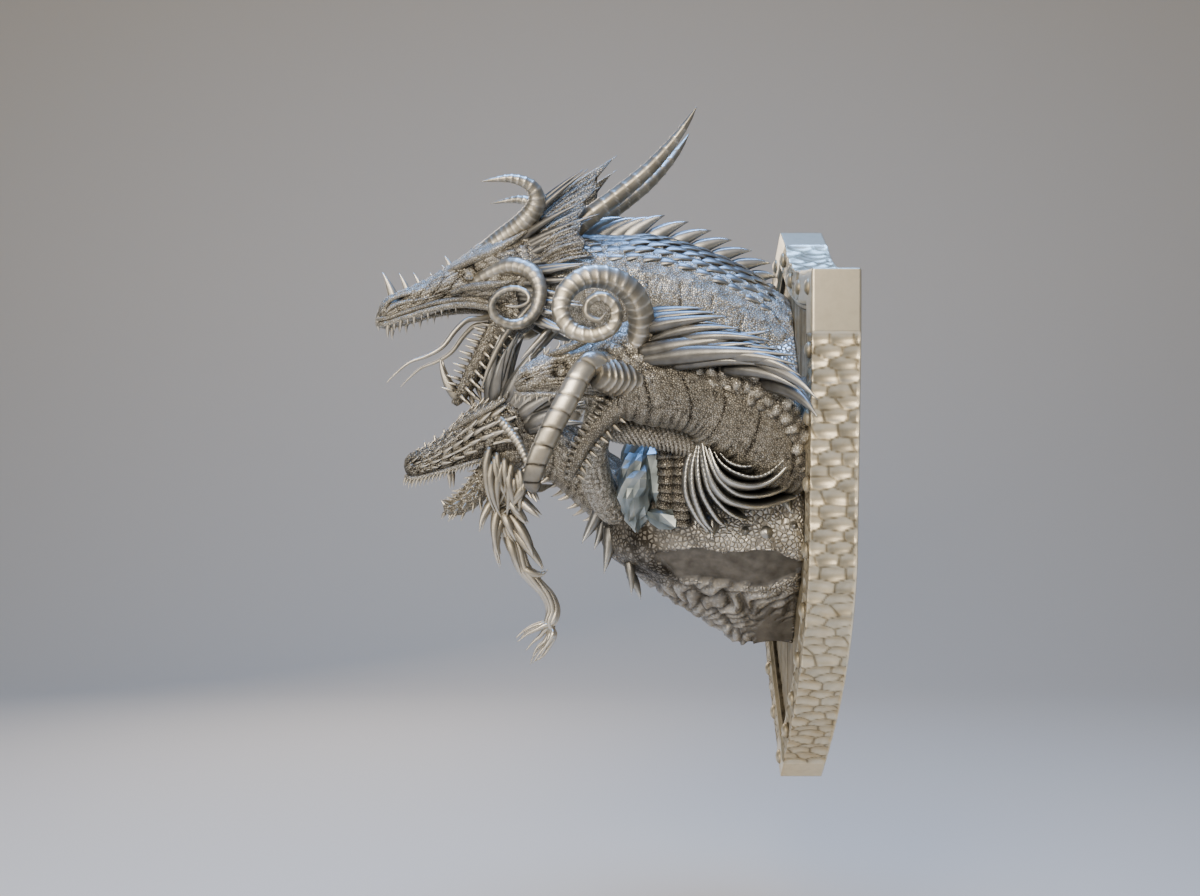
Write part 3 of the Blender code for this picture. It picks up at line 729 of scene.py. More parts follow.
def taper(base, tip, half_width, half_thick, normal=(1, 0, 0), bow=(0, 0, 0), along=12, around=8,
          square=1.0, tone=(0.3, 0.9), belly=1.0):
    """A pointed form from base to tip, bowed sideways by bow at its middle. half_thick lies along
    normal, and belly is the width a quarter of the way on as a share of the root's."""
    base, tip, bow = np.array(base, float), np.array(tip, float), np.array(bow, float)
    knots = []
    for share, size in ((0, 1.0), (0.25, belly), (0.5, 0.74 * belly), (0.75, 0.42 * belly), (1, 0.03)):
        place = base + (tip - base) * share + bow * 4 * share * (1 - share)
        knots.append((*place, half_width * size, half_thick * size))
    return tube(knots, along, around, up=normal, square=square, tone=tone)


def along_line(knots, shares):
    """Points at the given shares of the length of a smooth line."""
    line, _ = smooth_path(np.array(knots, float)[:, :3], 200)
    return [line[int(round(share * 199))] for share in shares]


# The top head.
# A long open-mouthed snout, cast in one with its neck: skull, brow, lips, nostril rims and teeth,
# with a lower jaw that hangs almost straight down and bears rows of spines.
TOP_SKULL = [
    (0, 222, 192, 33, 38), (0, 238, 193, 36, 40), (0, 254, 192, 37, 36), (0, 270, 190, 35, 31),
    (0, 285, 186, 31, 25), (0, 300, 182, 26, 19), (0, 315, 177, 22.5, 15), (0, 330, 171, 20, 13),
    (0, 345, 165, 18, 12.5), (0, 356, 160.5, 15.5, 12), (0, 364, 157, 11, 9.5), (0, 368, 155.5, 5, 5),
]
TOP_JAW = [
    (0, 244, 172, 26, 20), (0, 258, 158, 25, 18), (0, 270, 144, 21, 13), (0, 280, 130, 17, 9.5),
    (0, 289, 114, 13.5, 8), (0, 297, 100, 10.5, 7), (0, 303, 90, 7.5, 5.5), (0, 307, 84, 3.5, 3),
]
TOP_LIP = [
    (0, 369, 150, 2.2), (8, 366, 149, 2.4), (13.5, 358, 150, 2.4), (17, 346, 153.5, 2.4),
    (19.5, 331, 158, 2.4), (22, 316, 161.5, 2.6), (25.5, 300, 163.5, 2.8), (29, 285, 163, 2.8),
    (31, 272, 159, 2.6), (29, 262, 150, 2),
]
TOP_MARKS = [
    ((31, 291, 188), 8.5, 6.0, 0.35), ((30, 281, 168), 11, -3.0, -0.05),
    ((25, 312, 172), (9, 14, 4), 2.4, 0.2), ((17, 352, 170), (7, 7, 3.5), 4.5, 0.4),
    ((20, 338, 176), (9, 12, 3.5), -1.8, -0.1), ((36, 262, 200), 12, -2.5, 0.0),
]
TOP_BROW = [
    (15, 318, 187, 1.2), (22, 304, 193.5, 2.6), (29, 290, 199, 3.6), (34, 274, 205, 3.8),
    (36, 258, 213, 3.0), (36, 244, 222, 1.2),
]
TOP_CHEEK = [
    (24, 306, 173, 1.5), (29, 293, 177, 3.0), (34, 278, 178, 3.6), (37, 262, 180, 2.6), (37, 248, 184, 1.0),
]
TOP_NOSTRIL = [
    (13.5, 361, 165, 1.4), (16.4, 356, 169, 1.8), (17.5, 347, 172.5, 1.9), (18.5, 337, 174, 1.6),
    (19.5, 326, 176, 1.2), (20.5, 314, 179, 0.9),
]
TOP_JAW_EDGE = [
    (18.48, 268.5, 154), (17.16, 279.5, 140), (14.52, 288.5, 126), (11.44, 296.5, 111), (8.8, 303.5, 98),
    (5.28, 308.5, 89),
]
SNOUT_SPIKES = [
    (357, 170, 25, 4.4), (345, 174, 20, 3.4), (334, 177, 17, 3.0), (322, 181, 13, 2.8), (309, 193, 15, 4.2),
    (313, 190, 10, 3.0), (297, 197, 9, 2.8),
]


def press(grid, tone, centre, radius, depth, shade):
    """Push the points near a centre inward by depth along the line to the head's middle plane, and
    darken them; a negative depth raises them. The edge falls off as a bell curve."""
    target = np.array(centre, float) * TO_XYZ
    for sign in (1, -1):
        bell = np.exp(-np.sum(((grid - target * (sign, 1, 1)) / radius) ** 2, axis=-1))
        grid = grid - bell[..., None] * depth * np.array([sign, 0, 0])
        tone = tone - shade * bell
    return grid, tone


def skull(knots, along, around, marks, scale_size, back_columns=7, brighter=0.0):
    """A head swept along its own line: shingles on top, plates beside, and pressed or raised marks
    such as eye sockets, cheek bones and nostrils, each (centre, radius, depth, shade). brighter is
    added to the tone."""
    tones = {}

    def relief(distance, angle, share, width):
        height = np.sin(angle)
        turn = angle / (2 * np.pi)
        columns = back_columns * 4
        scale = shingles(-distance / scale_size / 1.6 + 60, turn * columns)
        count = round(2 * np.pi * float(width.mean()) / scale_size / 0.7)
        streak = distance / scale_size / 2.4 + 1.1 * np.sin(angle * 2 + distance / 31)
        near, second, number = cells(streak, turn * count, count, 21)
        plate = smoothstep(0.02, 0.32, second - near) * (0.55 + 0.6 * number)
        above = smoothstep(0.35, 0.62, height)
        below = smoothstep(-0.35, -0.6, height)
        grow = smoothstep(0.0, 0.15, share) * smoothstep(1.0, 0.9, share)
        lift = (1.7 * scale * above + 1.0 * plate * (1 - above) * (1 - below)) * grow
        tone = brighter + (0.16 + 0.62 * scale) * above + (0.2 + 0.42 * plate) * (1 - above)
        tones["tone"] = tone
        # The underside is darkened by 0.25 here, painted shade; only the two end points keep it, since
        # skull sets the other tones from the pressed tone without it.
        return lift, tone - 0.25 * below

    def marked(grid):
        for centre, radius, depth, shade in marks:
            grid, tones["tone"] = press(grid, tones["tone"], centre, radius, depth, shade)
        return grid

    verts, quads, tris, tone = tube(knots, along, around, square=0.82, relief=relief, cut=marked)
    tone[:-2] = np.clip(tones["tone"], 0.02, 1).ravel()
    return verts, quads, tris, tone


def eye(x, forward, up, radius):
    """A round eye with a raised lid above and below, on the near side."""
    ball = tube([(x - 3, forward, up, radius), (x - 1, forward, up, radius * 0.98),
                 (x + radius * 0.5, forward, up, radius * 0.75), (x + radius * 0.9, forward, up, 0.2)],
                9, 16, up=(0, 0, 1), tone=(0.2, 0.95))
    lids = []
    for sign, length in ((1, 1.5), (-1, 1.25)):
        rim = [(x + 0.2, forward - radius * length, up - 0.2 * radius, 0.4),
               (x + 1.6, forward - radius * 0.5, up + sign * radius * 0.75, 1.3),
               (x + 1.8, forward + radius * 0.4, up + sign * radius * 0.75, 1.3),
               (x - 0.4, forward + radius * length, up - 0.1 * radius, 0.4)]
        lids.append(tube(rim, 20, 8, tone=(0.6, 0.6)))
    return [ball, *lids]


def tooth_row(line, shares, lengths, lean, root):
    """Pointed teeth along a line, every other one shorter. The lengths are the first tooth's, that
    of one an eighth of the way on, and the last one's; root is the half width for each length."""
    teeth = []
    for number, place in enumerate(along_line(line, shares)):
        length = np.interp(number / (len(shares) - 1), (0, 0.12, 1), lengths) * (1.0, 0.78)[number % 2]
        tip = place + unit(np.array(lean, float)) * length
        teeth.append(taper(place, tip, length * root, length * root, bow=(0, 0.08 * length, 0), along=7,
                           around=7, tone=(0.35, 0.95)))
    return teeth


def spines_along(line, shares, reach, half_width, half_thick, **shape):
    """A short spine at each share of a line, all reaching the same way."""
    return [taper(place, place + reach, half_width, half_thick, along=7, around=7, **shape)
            for place in along_line(line, shares)]


def make_top_head():
    """Skull, jaw, eyes, lips, nostrils, teeth, brows, the snout's small horns and the jaw's spines."""
    piece("top_head_skull", [skull(TOP_SKULL, 190, 170, TOP_MARKS, 4.6, brighter=0.1)], hide_metal)

    def jaw_relief(distance, angle, share, width):
        front = np.sin(angle)
        rows = shingles(-distance / 6 + 30, angle / (2 * np.pi) * 26)
        rib = 0.5 + 0.5 * np.sin(distance / 4.4 * 2 * np.pi)
        inner = smoothstep(0.3, 0.7, front)
        lift = 1.4 * rows * (1 - inner) + 1.2 * rib * inner - 2.5 * inner
        return lift, (0.15 + 0.6 * rows) * (1 - inner) + (0.1 + 0.25 * rib) * inner

    jaw = tube(TOP_JAW, 90, 90, up=(0, 1, 0.6), square=0.8, relief=jaw_relief)
    piece("top_head_jaw", [jaw], hide_metal)

    upper_lip = [(x * 0.96 + 0.9, f + 0.6, z + 4.2 + 0.2 * (i % 2), r * 0.8)
                 for i, (x, f, z, r) in enumerate(TOP_LIP)]
    lower_rim = [(x + 0.6, f, z - 6.5, r) for x, f, z, r in TOP_NOSTRIL]
    parts = [
        *eye(26.5, 291, 188, 4.6),
        tube(TOP_LIP, 110, 12, tone=(0.72, 0.5)),
        tube(upper_lip, 110, 10, tone=(0.6, 0.45)),
        tube(TOP_NOSTRIL, 50, 10, tone=(0.75, 0.5)),
        tube(lower_rim, 50, 10, tone=(0.7, 0.45)),
        tube(TOP_BROW, 60, 12, square=1.2, tone=(0.5, 0.7)),
    ]
    for number, place in enumerate(along_line(TOP_BROW, np.linspace(0.08, 0.92, 9))):
        tip = place + np.array((3, -6, 4.5)) * (0.7 + 0.5 * math.sin(number / 8 * math.pi))
        parts.append(taper(place, tip, 2.2, 1.3, along=7, around=7, tone=(0.4, 0.9)))
    parts.append(tube(TOP_CHEEK, 50, 12, square=1.2, tone=(0.45, 0.65)))
    both_sides("top_head_features", parts, hide_metal)

    lower_edge = [(x, f - 3.5, z + 2.5) for x, f, z, _ in TOP_LIP[1:9]]
    teeth = tooth_row(lower_edge, np.linspace(0.06, 0.9, 15), (15, 12, 5.5), (0.06, 0.10, -1), 0.17)
    teeth += tooth_row(TOP_JAW_EDGE, np.linspace(0.04, 0.92, 13), (12, 13, 12), (0.15, 1, 0.32), 0.13)
    teeth.append(taper((5, 303, 88), (8, 317, 122), 4.2, 3.2, bow=(0, 3, 0), tone=(0.35, 0.95)))
    both_sides("top_head_teeth", teeth, horn_metal)

    spikes = []
    for forward, up, length, radius in SNOUT_SPIKES:
        tip = (0, forward + 0.36 * length, up + 0.93 * length)
        spikes.append(taper((0, forward - 2, up - 4), tip, radius, radius * 0.75, bow=(0, -1.2, 0),
                            along=14, around=12, tone=(0.3, 0.95)))
    spikes.append(taper((0, 362, 162), (0, 369, 144.5), 5.0, 4.5, bow=(0, 3, 0), around=12,
                        tone=(0.4, 0.8)))
    for share in np.linspace(0, 1, 5):
        base = (0, 292 - 20 * share, 92 + 30 * share)
        spikes.append(taper(base, (0, 290 - 26 * share, 78 + 32 * share), 2.4, 1.8))
    piece("top_head_spikes", spikes, horn_metal)

    jaw_spines = []
    for row in range(3):
        shares = (np.arange(11) + 0.5 * (row % 2)) / 11
        for share, place in zip(shares, along_line(TOP_JAW[1:], shares)):
            base = place + ((25 - 17 * share) * (0.95 - 0.22 * row), -2 - 5 * row, 0)
            tip = base + (3.5 - row, -5.5 - row, -5.5)
            jaw_spines.append(taper(base, tip, 2.0, 1.3, along=6, around=6, tone=(0.25, 0.85)))
    both_sides("top_head_jaw_spines", jaw_spines, horn_metal)


make_top_head()

# Horns of the top head.
# Cast horns rooted in the skull: a ringed pair sweeps far back, a ringed pair curls forward over the
# brow, and a faintly ringed pair coils beside the cheeks.


def ringed(pitch, lift, tone=0.5, step=0.3, chevron=0.0, fall=0.0):
    """The relief of a horn with thin rings every pitch: raised and bright when lift and step are
    positive, cut in and dark when they are negative. chevron bends them at the near ridge, and
    fall is added to the tone towards the tip."""
    def relief(distance, angle, share, width):
        phase = (distance + chevron * np.abs(np.sin(angle))) / pitch
        ring = np.exp(-(np.abs(phase - np.round(phase)) * pitch / 0.7) ** 2)
        fade = smoothstep(1.0, 0.8, share)
        level = tone + fall * smoothstep(0.15, 0.85, share)
        return lift * ring * fade, level + step * ring * fade + 0.06 * np.sin(phase * 1.7)
    return relief


LONG_HORN = [
    (18, 222, 212, 8.8), (24, 197, 233, 8.2), (29, 171, 252, 7.2), (35, 146, 272, 6), (41, 127, 292, 4.4),
    (45, 115, 308, 2.6), (48, 108, 319, 0.3),
]
FRONT_HORN = [
    (15, 294, 194, 7), (17, 281, 205, 8.6), (22, 265, 217, 9), (29, 249, 228, 8.8), (35, 238, 240, 7.8),
    (40, 236, 250, 6.4), (44, 242, 258, 5), (47, 255, 262, 3.6), (49, 268, 261, 2), (50, 280, 259, 0.3),
]
CHEEK_HORN = [
    (20, 290, 178, 6.2), (28, 277, 187, 6.8), (37, 257, 194, 7), (44, 240, 188, 6.8), (49, 233, 174, 6.2),
    (52, 236, 157, 5.4), (54, 245, 147, 4.8), (57, 257, 145, 4.2), (60, 268, 151, 3.6), (63, 270, 161, 3.0),
    (66, 262, 170, 2.6), (69, 251, 172, 2.3), (71, 242, 168, 2.0), (72, 241, 161, 1.7),
    (71, 249, 157.5, 1.2), (70, 259, 158, 0.4),
]


def make_top_horns():
    """The three pairs, with small spines under the front pair's tips."""
    horns = [
        tube(LONG_HORN, 130, 14, square=1.2, relief=ringed(11, 0.8, 0.48, 0.35, 3)),
        tube(FRONT_HORN, 150, 14, relief=ringed(5.4, 0.55, 0.5, 0.3)),
        tube(CHEEK_HORN, 180, 14, up=(1, 0, 0), square=1.15, relief=ringed(6, 0.35, 0.5, 0.2, 2)),
    ]
    for number, place in enumerate(along_line(FRONT_HORN, 0.55 + 0.055 * np.arange(7))):
        horns.append(taper(place, place + (0, 1.6, -5.0 + 0.4 * number), 1.8, 1.4, along=6, around=6))
    both_sides("top_head_horns", horns, horn_metal)


make_top_horns()

# Blades of the top neck.
# Long pointed scales, rubbed bright towards their tips, lie back along the neck in overlapping rows.
# They are rooted in its hide and break its outline.


def on_tube(knots, share, angle, up=(0, 0, 1)):
    """The surface point of a swept form at a share of its length and an angle round its section,
    with the directions out of the surface and on along the form."""
    path, _, centre, (tangent, side, ups) = sweep_line(knots, 101, up)
    row = int(round(share * 100))
    across, upward = side[row] * math.cos(angle), ups[row] * math.sin(angle)
    point = centre[row] + across * path[row, 3] + upward * path[row, 4]
    return point * TO_XYZ, (across + upward) * TO_XYZ, tangent[row] * TO_XYZ


def scale_blade(share, angle, length, half_width, lift, sink, tone, face=None):
    """A pointed scale that starts in the top neck's hide and lies back along it, its tip raised by
    lift. Its flat side looks out of the hide unless face gives another way."""
    point, outward, tangent = on_tube(TOP_NECK[::-1], share, angle)
    base = point - outward * sink
    base[1] = max(base[1], SEAT + 2)
    tip = point + tangent * length + outward * lift
    tip[1] = max(tip[1], SEAT + 9)
    return taper(base, tip, half_width, 1.6, normal=outward if face is None else face,
                 bow=outward * 0.10 * length, along=10, around=8, square=1.25, tone=tone, belly=1.35)


def make_neck_blades():
    """Rows from the ridge down each flank; blades shrink down the flank and towards the plaque."""
    ridge, rows = [], []
    for number in range(15):
        share = 0.05 + number * 0.06
        size = 1.0 - 0.45 * share
        ridge.append(scale_blade(share, math.pi / 2, 42 * size, 6.5 * size, 25 * size, 4, (0.4, 0.9),
                                 (1, 0, 0)))
    for row, turn in enumerate((0.2, 0.4, 0.6, 0.8, 1.0)):
        for number in range(17):
            share = 0.02 + (number + 0.5 * (row % 2)) * 0.053
            size = (1.0 - 0.35 * share) * (1 - 0.10 * row)
            rows.append(scale_blade(share, math.pi / 2 - turn, 40 * size, 7.5 * size, 3.2 * size, 2.2,
                                    (0.35, 0.75)))
    piece("top_neck_ridge_blades", ridge, blade_metal)
    both_sides("top_neck_flank_blades", rows, blade_metal)


make_neck_blades()

# Ear fins, cheek blades and whiskers of the top head.
# The fin is a cast fan of ribs with thin webs between them, rooted behind the brow. Blades lie under
# it and whiskers trail forward.
FIN_ROOTS = ((20, 262, 206), (31, 240, 180))
FIN_TIPS = [(30, 171, 284), (34, 185, 258), (38, 194, 242), (42, 197, 228), (45, 195, 214), (46, 188, 202)]


def web(rib_a, rib_b):
    """A thin skin between two ribs, streaked along them; its free edge pulls in between them."""
    across = np.linspace(0, 1, 21)
    reach = np.linspace(0, 0.96, 20)[:, None] * (1 - 0.1 * np.sin(np.pi * across))[None]
    rows = np.linspace(0, 1, len(rib_a))
    sides = []
    for rib in (rib_a, rib_b):
        sides.append(np.stack([np.interp(reach, rows, rib[:, axis]) for axis in range(3)], -1))
    skin = sides[0] * (1 - across)[None, :, None] + sides[1] * across[None, :, None]
    normal = unit(np.cross(rib_a[-1, :3] - rib_a[0, :3], rib_b[-1, :3] - rib_a[0, :3]))
    streak = np.sin(across * 7 * np.pi + 1.4 * np.sin(reach * 6)) * np.sin(np.pi * across) ** 0.5
    skin = skin + normal * (0.34 * streak)[..., None]
    half_thick = 0.55 * normal
    grid = np.concatenate([skin + half_thick, (skin - half_thick)[:, ::-1]], 1) * TO_XYZ
    return shell(grid, 0.42 + 0.08 * np.concatenate([streak, streak[:, ::-1]], 1))


def make_ear_fan():
    """Ribs from a line of roots to their tips, with a web in each gap."""
    parts, ribs = [], []
    for share, tip in zip(np.linspace(0, 1, len(FIN_TIPS)), FIN_TIPS):
        root = np.array(FIN_ROOTS[0]) * (1 - share) + np.array(FIN_ROOTS[1]) * share
        middle = (root + tip) / 2 + (3, 4, 5)
        knots = [(*root, 2.4), (*middle, 1.92), (*tip, 0.25)]
        ribs.append(smooth_path(knots, 60)[0])
        parts.append(tube(knots, 26, 9, tone=(0.4, 0.8)))
    both_sides("ear_fan", parts + [web(*pair) for pair in zip(ribs, ribs[1:])], hide_metal)


def make_head_trim():
    """The swept cheek blades and the whiskers."""
    blades = []
    for number in range(16):
        share = number / 15
        base = np.array((24 + 13 * share, 264 - 16 * share, 216 - 60 * share))
        reach = 86 - 46 * share + 10 * math.sin(number * 2.3)
        turn = math.radians(40 - 66 * share + 5 * math.sin(number * 1.7))
        tip = base + (14 + 4 * math.sin(number), -reach * math.cos(turn), reach * math.sin(turn))
        blades.append(taper(base, tip, 3.2 - 0.2 * share, 1.6, normal=(1, 0.1, 0),
                            bow=(3, 0, 3 - 5 * share), along=20, around=10, square=1.3,
                            tone=(0.2, 0.45 + 0.35 * share), belly=1.2))
    both_sides("cheek_blades", blades, blade_metal)
    whiskers = [
        tube([(14, 262, 160, 2.6), (24, 279, 153, 2.5), (29, 292, 151, 2.4), (32, 302, 142, 2.2),
              (34, 312, 129, 2), (36, 325, 121, 1.7), (38, 338, 116, 1.3), (39, 348, 108, 0.9),
              (40, 357, 99, 0.3)], 80, 10, tone=(0.5, 0.7)),
        tube([(30, 245, 170, 2.4), (41, 232, 172, 2.6), (41, 247, 154, 2.8), (40, 262, 136, 2.6),
              (37, 274, 113, 2.0), (34, 281, 94, 0.5)], 60, 10, up=(1, 0, 0), tone=(0.35, 0.5)),
        tube([(30, 212, 154, 2.4), (33, 224, 145, 2.6), (33, 237, 131, 2.3), (30, 249, 119, 0.5)], 50, 10,
             tone=(0.6, 0.85)),
    ]
    both_sides("top_head_whiskers", whiskers, horn_metal)


make_ear_fan()
make_head_trim()

# The low head.
# A short bristling snout, cast in one with its neck: a dropped jaw, comb teeth, a curved horn on each
# cheek, and plumes that rise behind.
LOW_SKULL = [
    (0, 240, 66, 24, 25), (0, 256, 66, 27, 27), (0, 272, 62, 26, 25), (0, 288, 55, 22, 21),
    (0, 302, 47, 17.5, 17), (0, 316, 40, 15, 13.5), (0, 328, 35, 13.5, 12), (0, 338, 32, 11.5, 11),
    (0, 344, 30, 8, 8.5), (0, 347, 29, 3, 3.5),
]
LOW_JAW = [
    (0, 250, 54, 20, 17), (0, 262, 42, 18.5, 14), (0, 274, 28, 15.5, 11.5), (0, 285, 15, 13, 10),
    (0, 294, 5, 11, 8.5), (0, 303, -1, 9, 7), (0, 310, -3, 6, 5), (0, 314, -4, 2, 2),
]
LOW_MARKS = [
    ((23, 290, 60), 6.5, 4.5, 0.3), ((20, 279, 48), 8, -2.4, 0.0), ((12, 338, 36), 3.2, 3, 0.35),
]
LOW_LIP = [
    (4, 346, 24, 1.4), (9, 341, 22, 1.6), (12.5, 328, 24, 1.6), (15, 312, 28.5, 1.7), (18, 297, 33, 1.8),
    (21, 282, 37, 1.8), (20, 270, 38, 1.4),
]
LOW_BROW = [(12, 308, 60, 1), (17, 298, 67, 2.4), (22, 286, 74, 3), (26, 272, 81, 2.6), (27, 260, 88, 1)]
LOW_JAW_EDGE = [(13, 272, 36), (11, 283, 25), (9, 293, 14), (7, 302, 6), (4, 309, 1)]
LOW_RIDGE = [
    (330, 45, 8), (322, 50, 9), (314, 54, 10), (306, 60, 10), (299, 67, 10), (290, 74, 9), (280, 80, 8),
]
LOW_SIDE_HORN = [
    (18, 270, 74, 4), (27, 264, 68, 4.2), (33, 254, 56, 4), (36, 247, 44, 3.4), (37, 243, 32, 2.4),
    (37, 244, 22, 0.4),
]


def low_bristles():
    """Rows of short bristles that lie back along the snout and forward along the jaw."""
    bristles = []
    for row in range(7):
        for number in range(17):
            share = 0.22 + (number + 0.5 * (row % 2)) * 0.043
            point, outward, tangent = on_tube(LOW_SKULL, min(share, 0.95), math.pi - 1.35 + 0.3 * row)
            size = (2.1 - 1.4 * share) * (1 + 0.35 * math.sin(number * 2.9 + row * 1.7))
            tip = point + outward * 3.6 * size - tangent * 7.0 * size
            bristles.append(taper(point - outward, tip, 1.5 * size, 0.9 * size, normal=outward, along=6,
                                  around=6, tone=(0.25, 0.95)))
    for row in range(6):
        for number in range(9):
            share = 0.24 + (number + 0.5 * (row % 2)) * 0.08
            point, outward, tangent = on_tube(LOW_JAW, min(share, 0.97), math.pi - 1.2 + 0.48 * row,
                                              (0, 1, 0.6))
            size = 1.2 + 0.35 * math.sin(number * 2.3 + row * 1.9)
            tip = point + outward * 4.4 * size + tangent * 5.0 * size
            bristles.append(taper(point - outward, tip, 1.3 * size, 0.9 * size, normal=outward, along=6,
                                  around=6, tone=(0.3, 0.95)))
    return bristles


def low_teeth():
    """Comb teeth above and below, a fang, and the spines under the jaw and behind its corner."""
    teeth = tooth_row(LOW_LIP, np.linspace(0.02, 0.9, 22), (8, 10, 6), (0.1, 0.35, -1), 0.14)
    teeth += tooth_row(LOW_JAW_EDGE, np.linspace(0, 0.95, 12), (5.5, 6, 6), (0.25, 0.7, 0.7), 0.18)
    teeth.append(taper((13, 309, 27), (14, 308, 13), 2, 1.5, tone=(0.5, 0.95)))
    shares = np.linspace(0, 1, 10)
    for number, (share, place) in enumerate(zip(shares, along_line(LOW_JAW[2:], shares))):
        down = np.array((2.5 * math.sin(number * 2.1), 2.5 - 6 * (1 - share), -9.0 + 2.5 * share))
        teeth.append(taper(place + (4 - 3 * share, 0, -3), place + down * 1.25, 1.7, 1.3, along=7, around=6,
                           tone=(0.35, 0.9)))
    for number in range(7):
        place = np.array((10 + 1.2 * number, 268 - 4.5 * number, 28 - 3 * number))
        teeth.append(taper(place, place + (4, -5, -8), 1.8, 1.3, along=7, around=6, tone=(0.35, 0.9)))
    return teeth


def low_spikes():
    """The ridge's spikes, the chin's, and those under the neck."""
    spikes = [taper((0, forward - 1, up - 4), (0, forward + 1, up + length), 2.6, 2, along=8)
              for forward, up, length in LOW_RIDGE]
    spikes.append(taper((0, 306, -3), (0, 317, 4), 2.6, 2.2, bow=(0, 1.5, -1.5), tone=(0.4, 0.9)))
    for number in range(14):
        point, outward, tangent = on_tube(LOW_NECK[::-1], 0.08 + 0.036 * number,
                                          -math.pi / 2 + 0.3 * math.sin(number * 1.9))
        tip = point + outward * (11 + 3 * math.sin(number * 2.3)) - tangent * 5
        spikes.append(taper(point - outward * 2, tip, 2.4, 1.7, bow=(0, -1, -1), along=9))
    return spikes


def low_plumes():
    """Long flat blades that rise behind the head and fan back."""
    plumes = []
    for number in range(18):
        share = number / 17
        base = np.array((12 + 12 * share, 276 - 32 * share, 82 - 20 * share))
        reach = 60 - 14 * share + 9 * math.sin(number * 2.6)
        turn = math.radians(100 + 68 * share + 7 * math.sin(number * 1.9))
        tip = base + (13 + 4 * math.sin(number * 1.3), reach * math.cos(turn), reach * math.sin(turn))
        plumes.append(taper(base, tip, 4.6, 1.8, normal=(1, 0.2, 0), bow=(3, 2, 2), along=20, around=10,
                            square=1.3, tone=(0.3, 0.7), belly=1.2))
    return plumes


def make_low_head():
    """Skull, jaw, eyes, lips and brows, then all that grows on them."""
    piece("low_head_skull", [skull(LOW_SKULL, 130, 130, LOW_MARKS, 3.6, 6, -0.08)], hide_metal)

    def jaw_relief(distance, angle, share, width):
        rows = shingles(-distance / 4.5 + 30, angle / (2 * np.pi) * 20)
        return 1.2 * rows, 0.15 + 0.6 * rows

    jaw = tube(LOW_JAW, 70, 60, up=(0, 1, 0.6), square=0.8, relief=jaw_relief)
    piece("low_head_jaw", [jaw], hide_metal)
    parts = [*eye(19.5, 290, 60, 3.4), tube(LOW_LIP, 70, 10, tone=(0.7, 0.5)),
             tube(LOW_BROW, 40, 10, tone=(0.5, 0.7))]
    parts += spines_along(LOW_BROW, np.linspace(0.05, 0.95, 8), (3, -3, 6.5), 2, 1.2)
    both_sides("low_head_features", parts, hide_metal)
    both_sides("low_head_bristles", low_bristles(), horn_metal)
    both_sides("low_head_teeth", low_teeth(), horn_metal)
    piece("low_head_spikes", low_spikes(), horn_metal)
    both_sides("low_head_plumes", low_plumes(), blade_metal)
    both_sides("low_head_side_horns", [tube(LOW_SIDE_HORN, 90, 14, relief=ringed(3.6, 0.4))], horn_metal)


make_low_head()

# The beard.
# Cast strands rooted in the cheeks gather under the chin among short side locks, and a long twisted
# lock swings back and forward before its tips part.
BEARD_TRUNK = [
    (0, 268, 38), (0, 270, 14), (0, 269, -6), (0, 263, -21), (0, 255, -36), (0, 249, -52), (0, 239, -64),
    (0, 229, -75), (0, 224, -87), (0, 226, -98),
]
BEARD_ENDS = [
    ((0, 227, -107), (0, 231, -114), (0, 238, -120), (0, 243, -133)),
    ((3, 226, -107), (4, 229, -116), (4, 235, -123), (3, 241, -132)),
    ((-2, 230, -104), (-3, 235, -110), (-3, 241, -115), (-2, 247, -122)),
    ((4, 231, -100), (5, 237, -103), (5, 245, -107), (4, 254, -114)),
    ((-4, 231, -100), (-5, 238, -102), (-5, 246, -106), (-4, 252, -113)),
    ((2, 223, -107), (3, 226, -116), (3, 232, -125), (2, 239, -130)),
    ((-3, 225, -107), (-4, 229, -115), (-4, 236, -121), (-3, 242, -130)),
    ((0, 232, -99), (0, 240, -101), (0, 248, -105), (1, 255, -111)),
    ((6, 224, -106), (6, 227, -113), (6, 231, -119), (5, 235, -127)),
]
BEARD_SIDE_LOCKS = [
    ((6, 270, 8), (14, 284, -22), (2, 3, 0)), ((8, 268, 0), (12, 268, -44), (3, 4, 0)),
    ((6, 264, -8), (8, 268, -52), (3, 5, 0)), ((10, 262, 6), (14, 245, -16), (3, -2, -3)),
    ((8, 260, -8), (12, 240, -44), (3, -4, -2)), ((6, 258, -20), (8, 232, -54), (3, -4, -3)),
    ((9, 266, -4), (13, 254, -30), (4, 0, 0)), ((5, 262, -26), (7, 250, -58), (3, 0, 0)),
    ((12, 264, 12), (20, 250, -8), (3, 0, -2)), ((12, 258, 10), (20, 234, -10), (3, -3, -3)),
    ((4, 252, -50), (3, 228, -54), (2, -2, -6)),
]


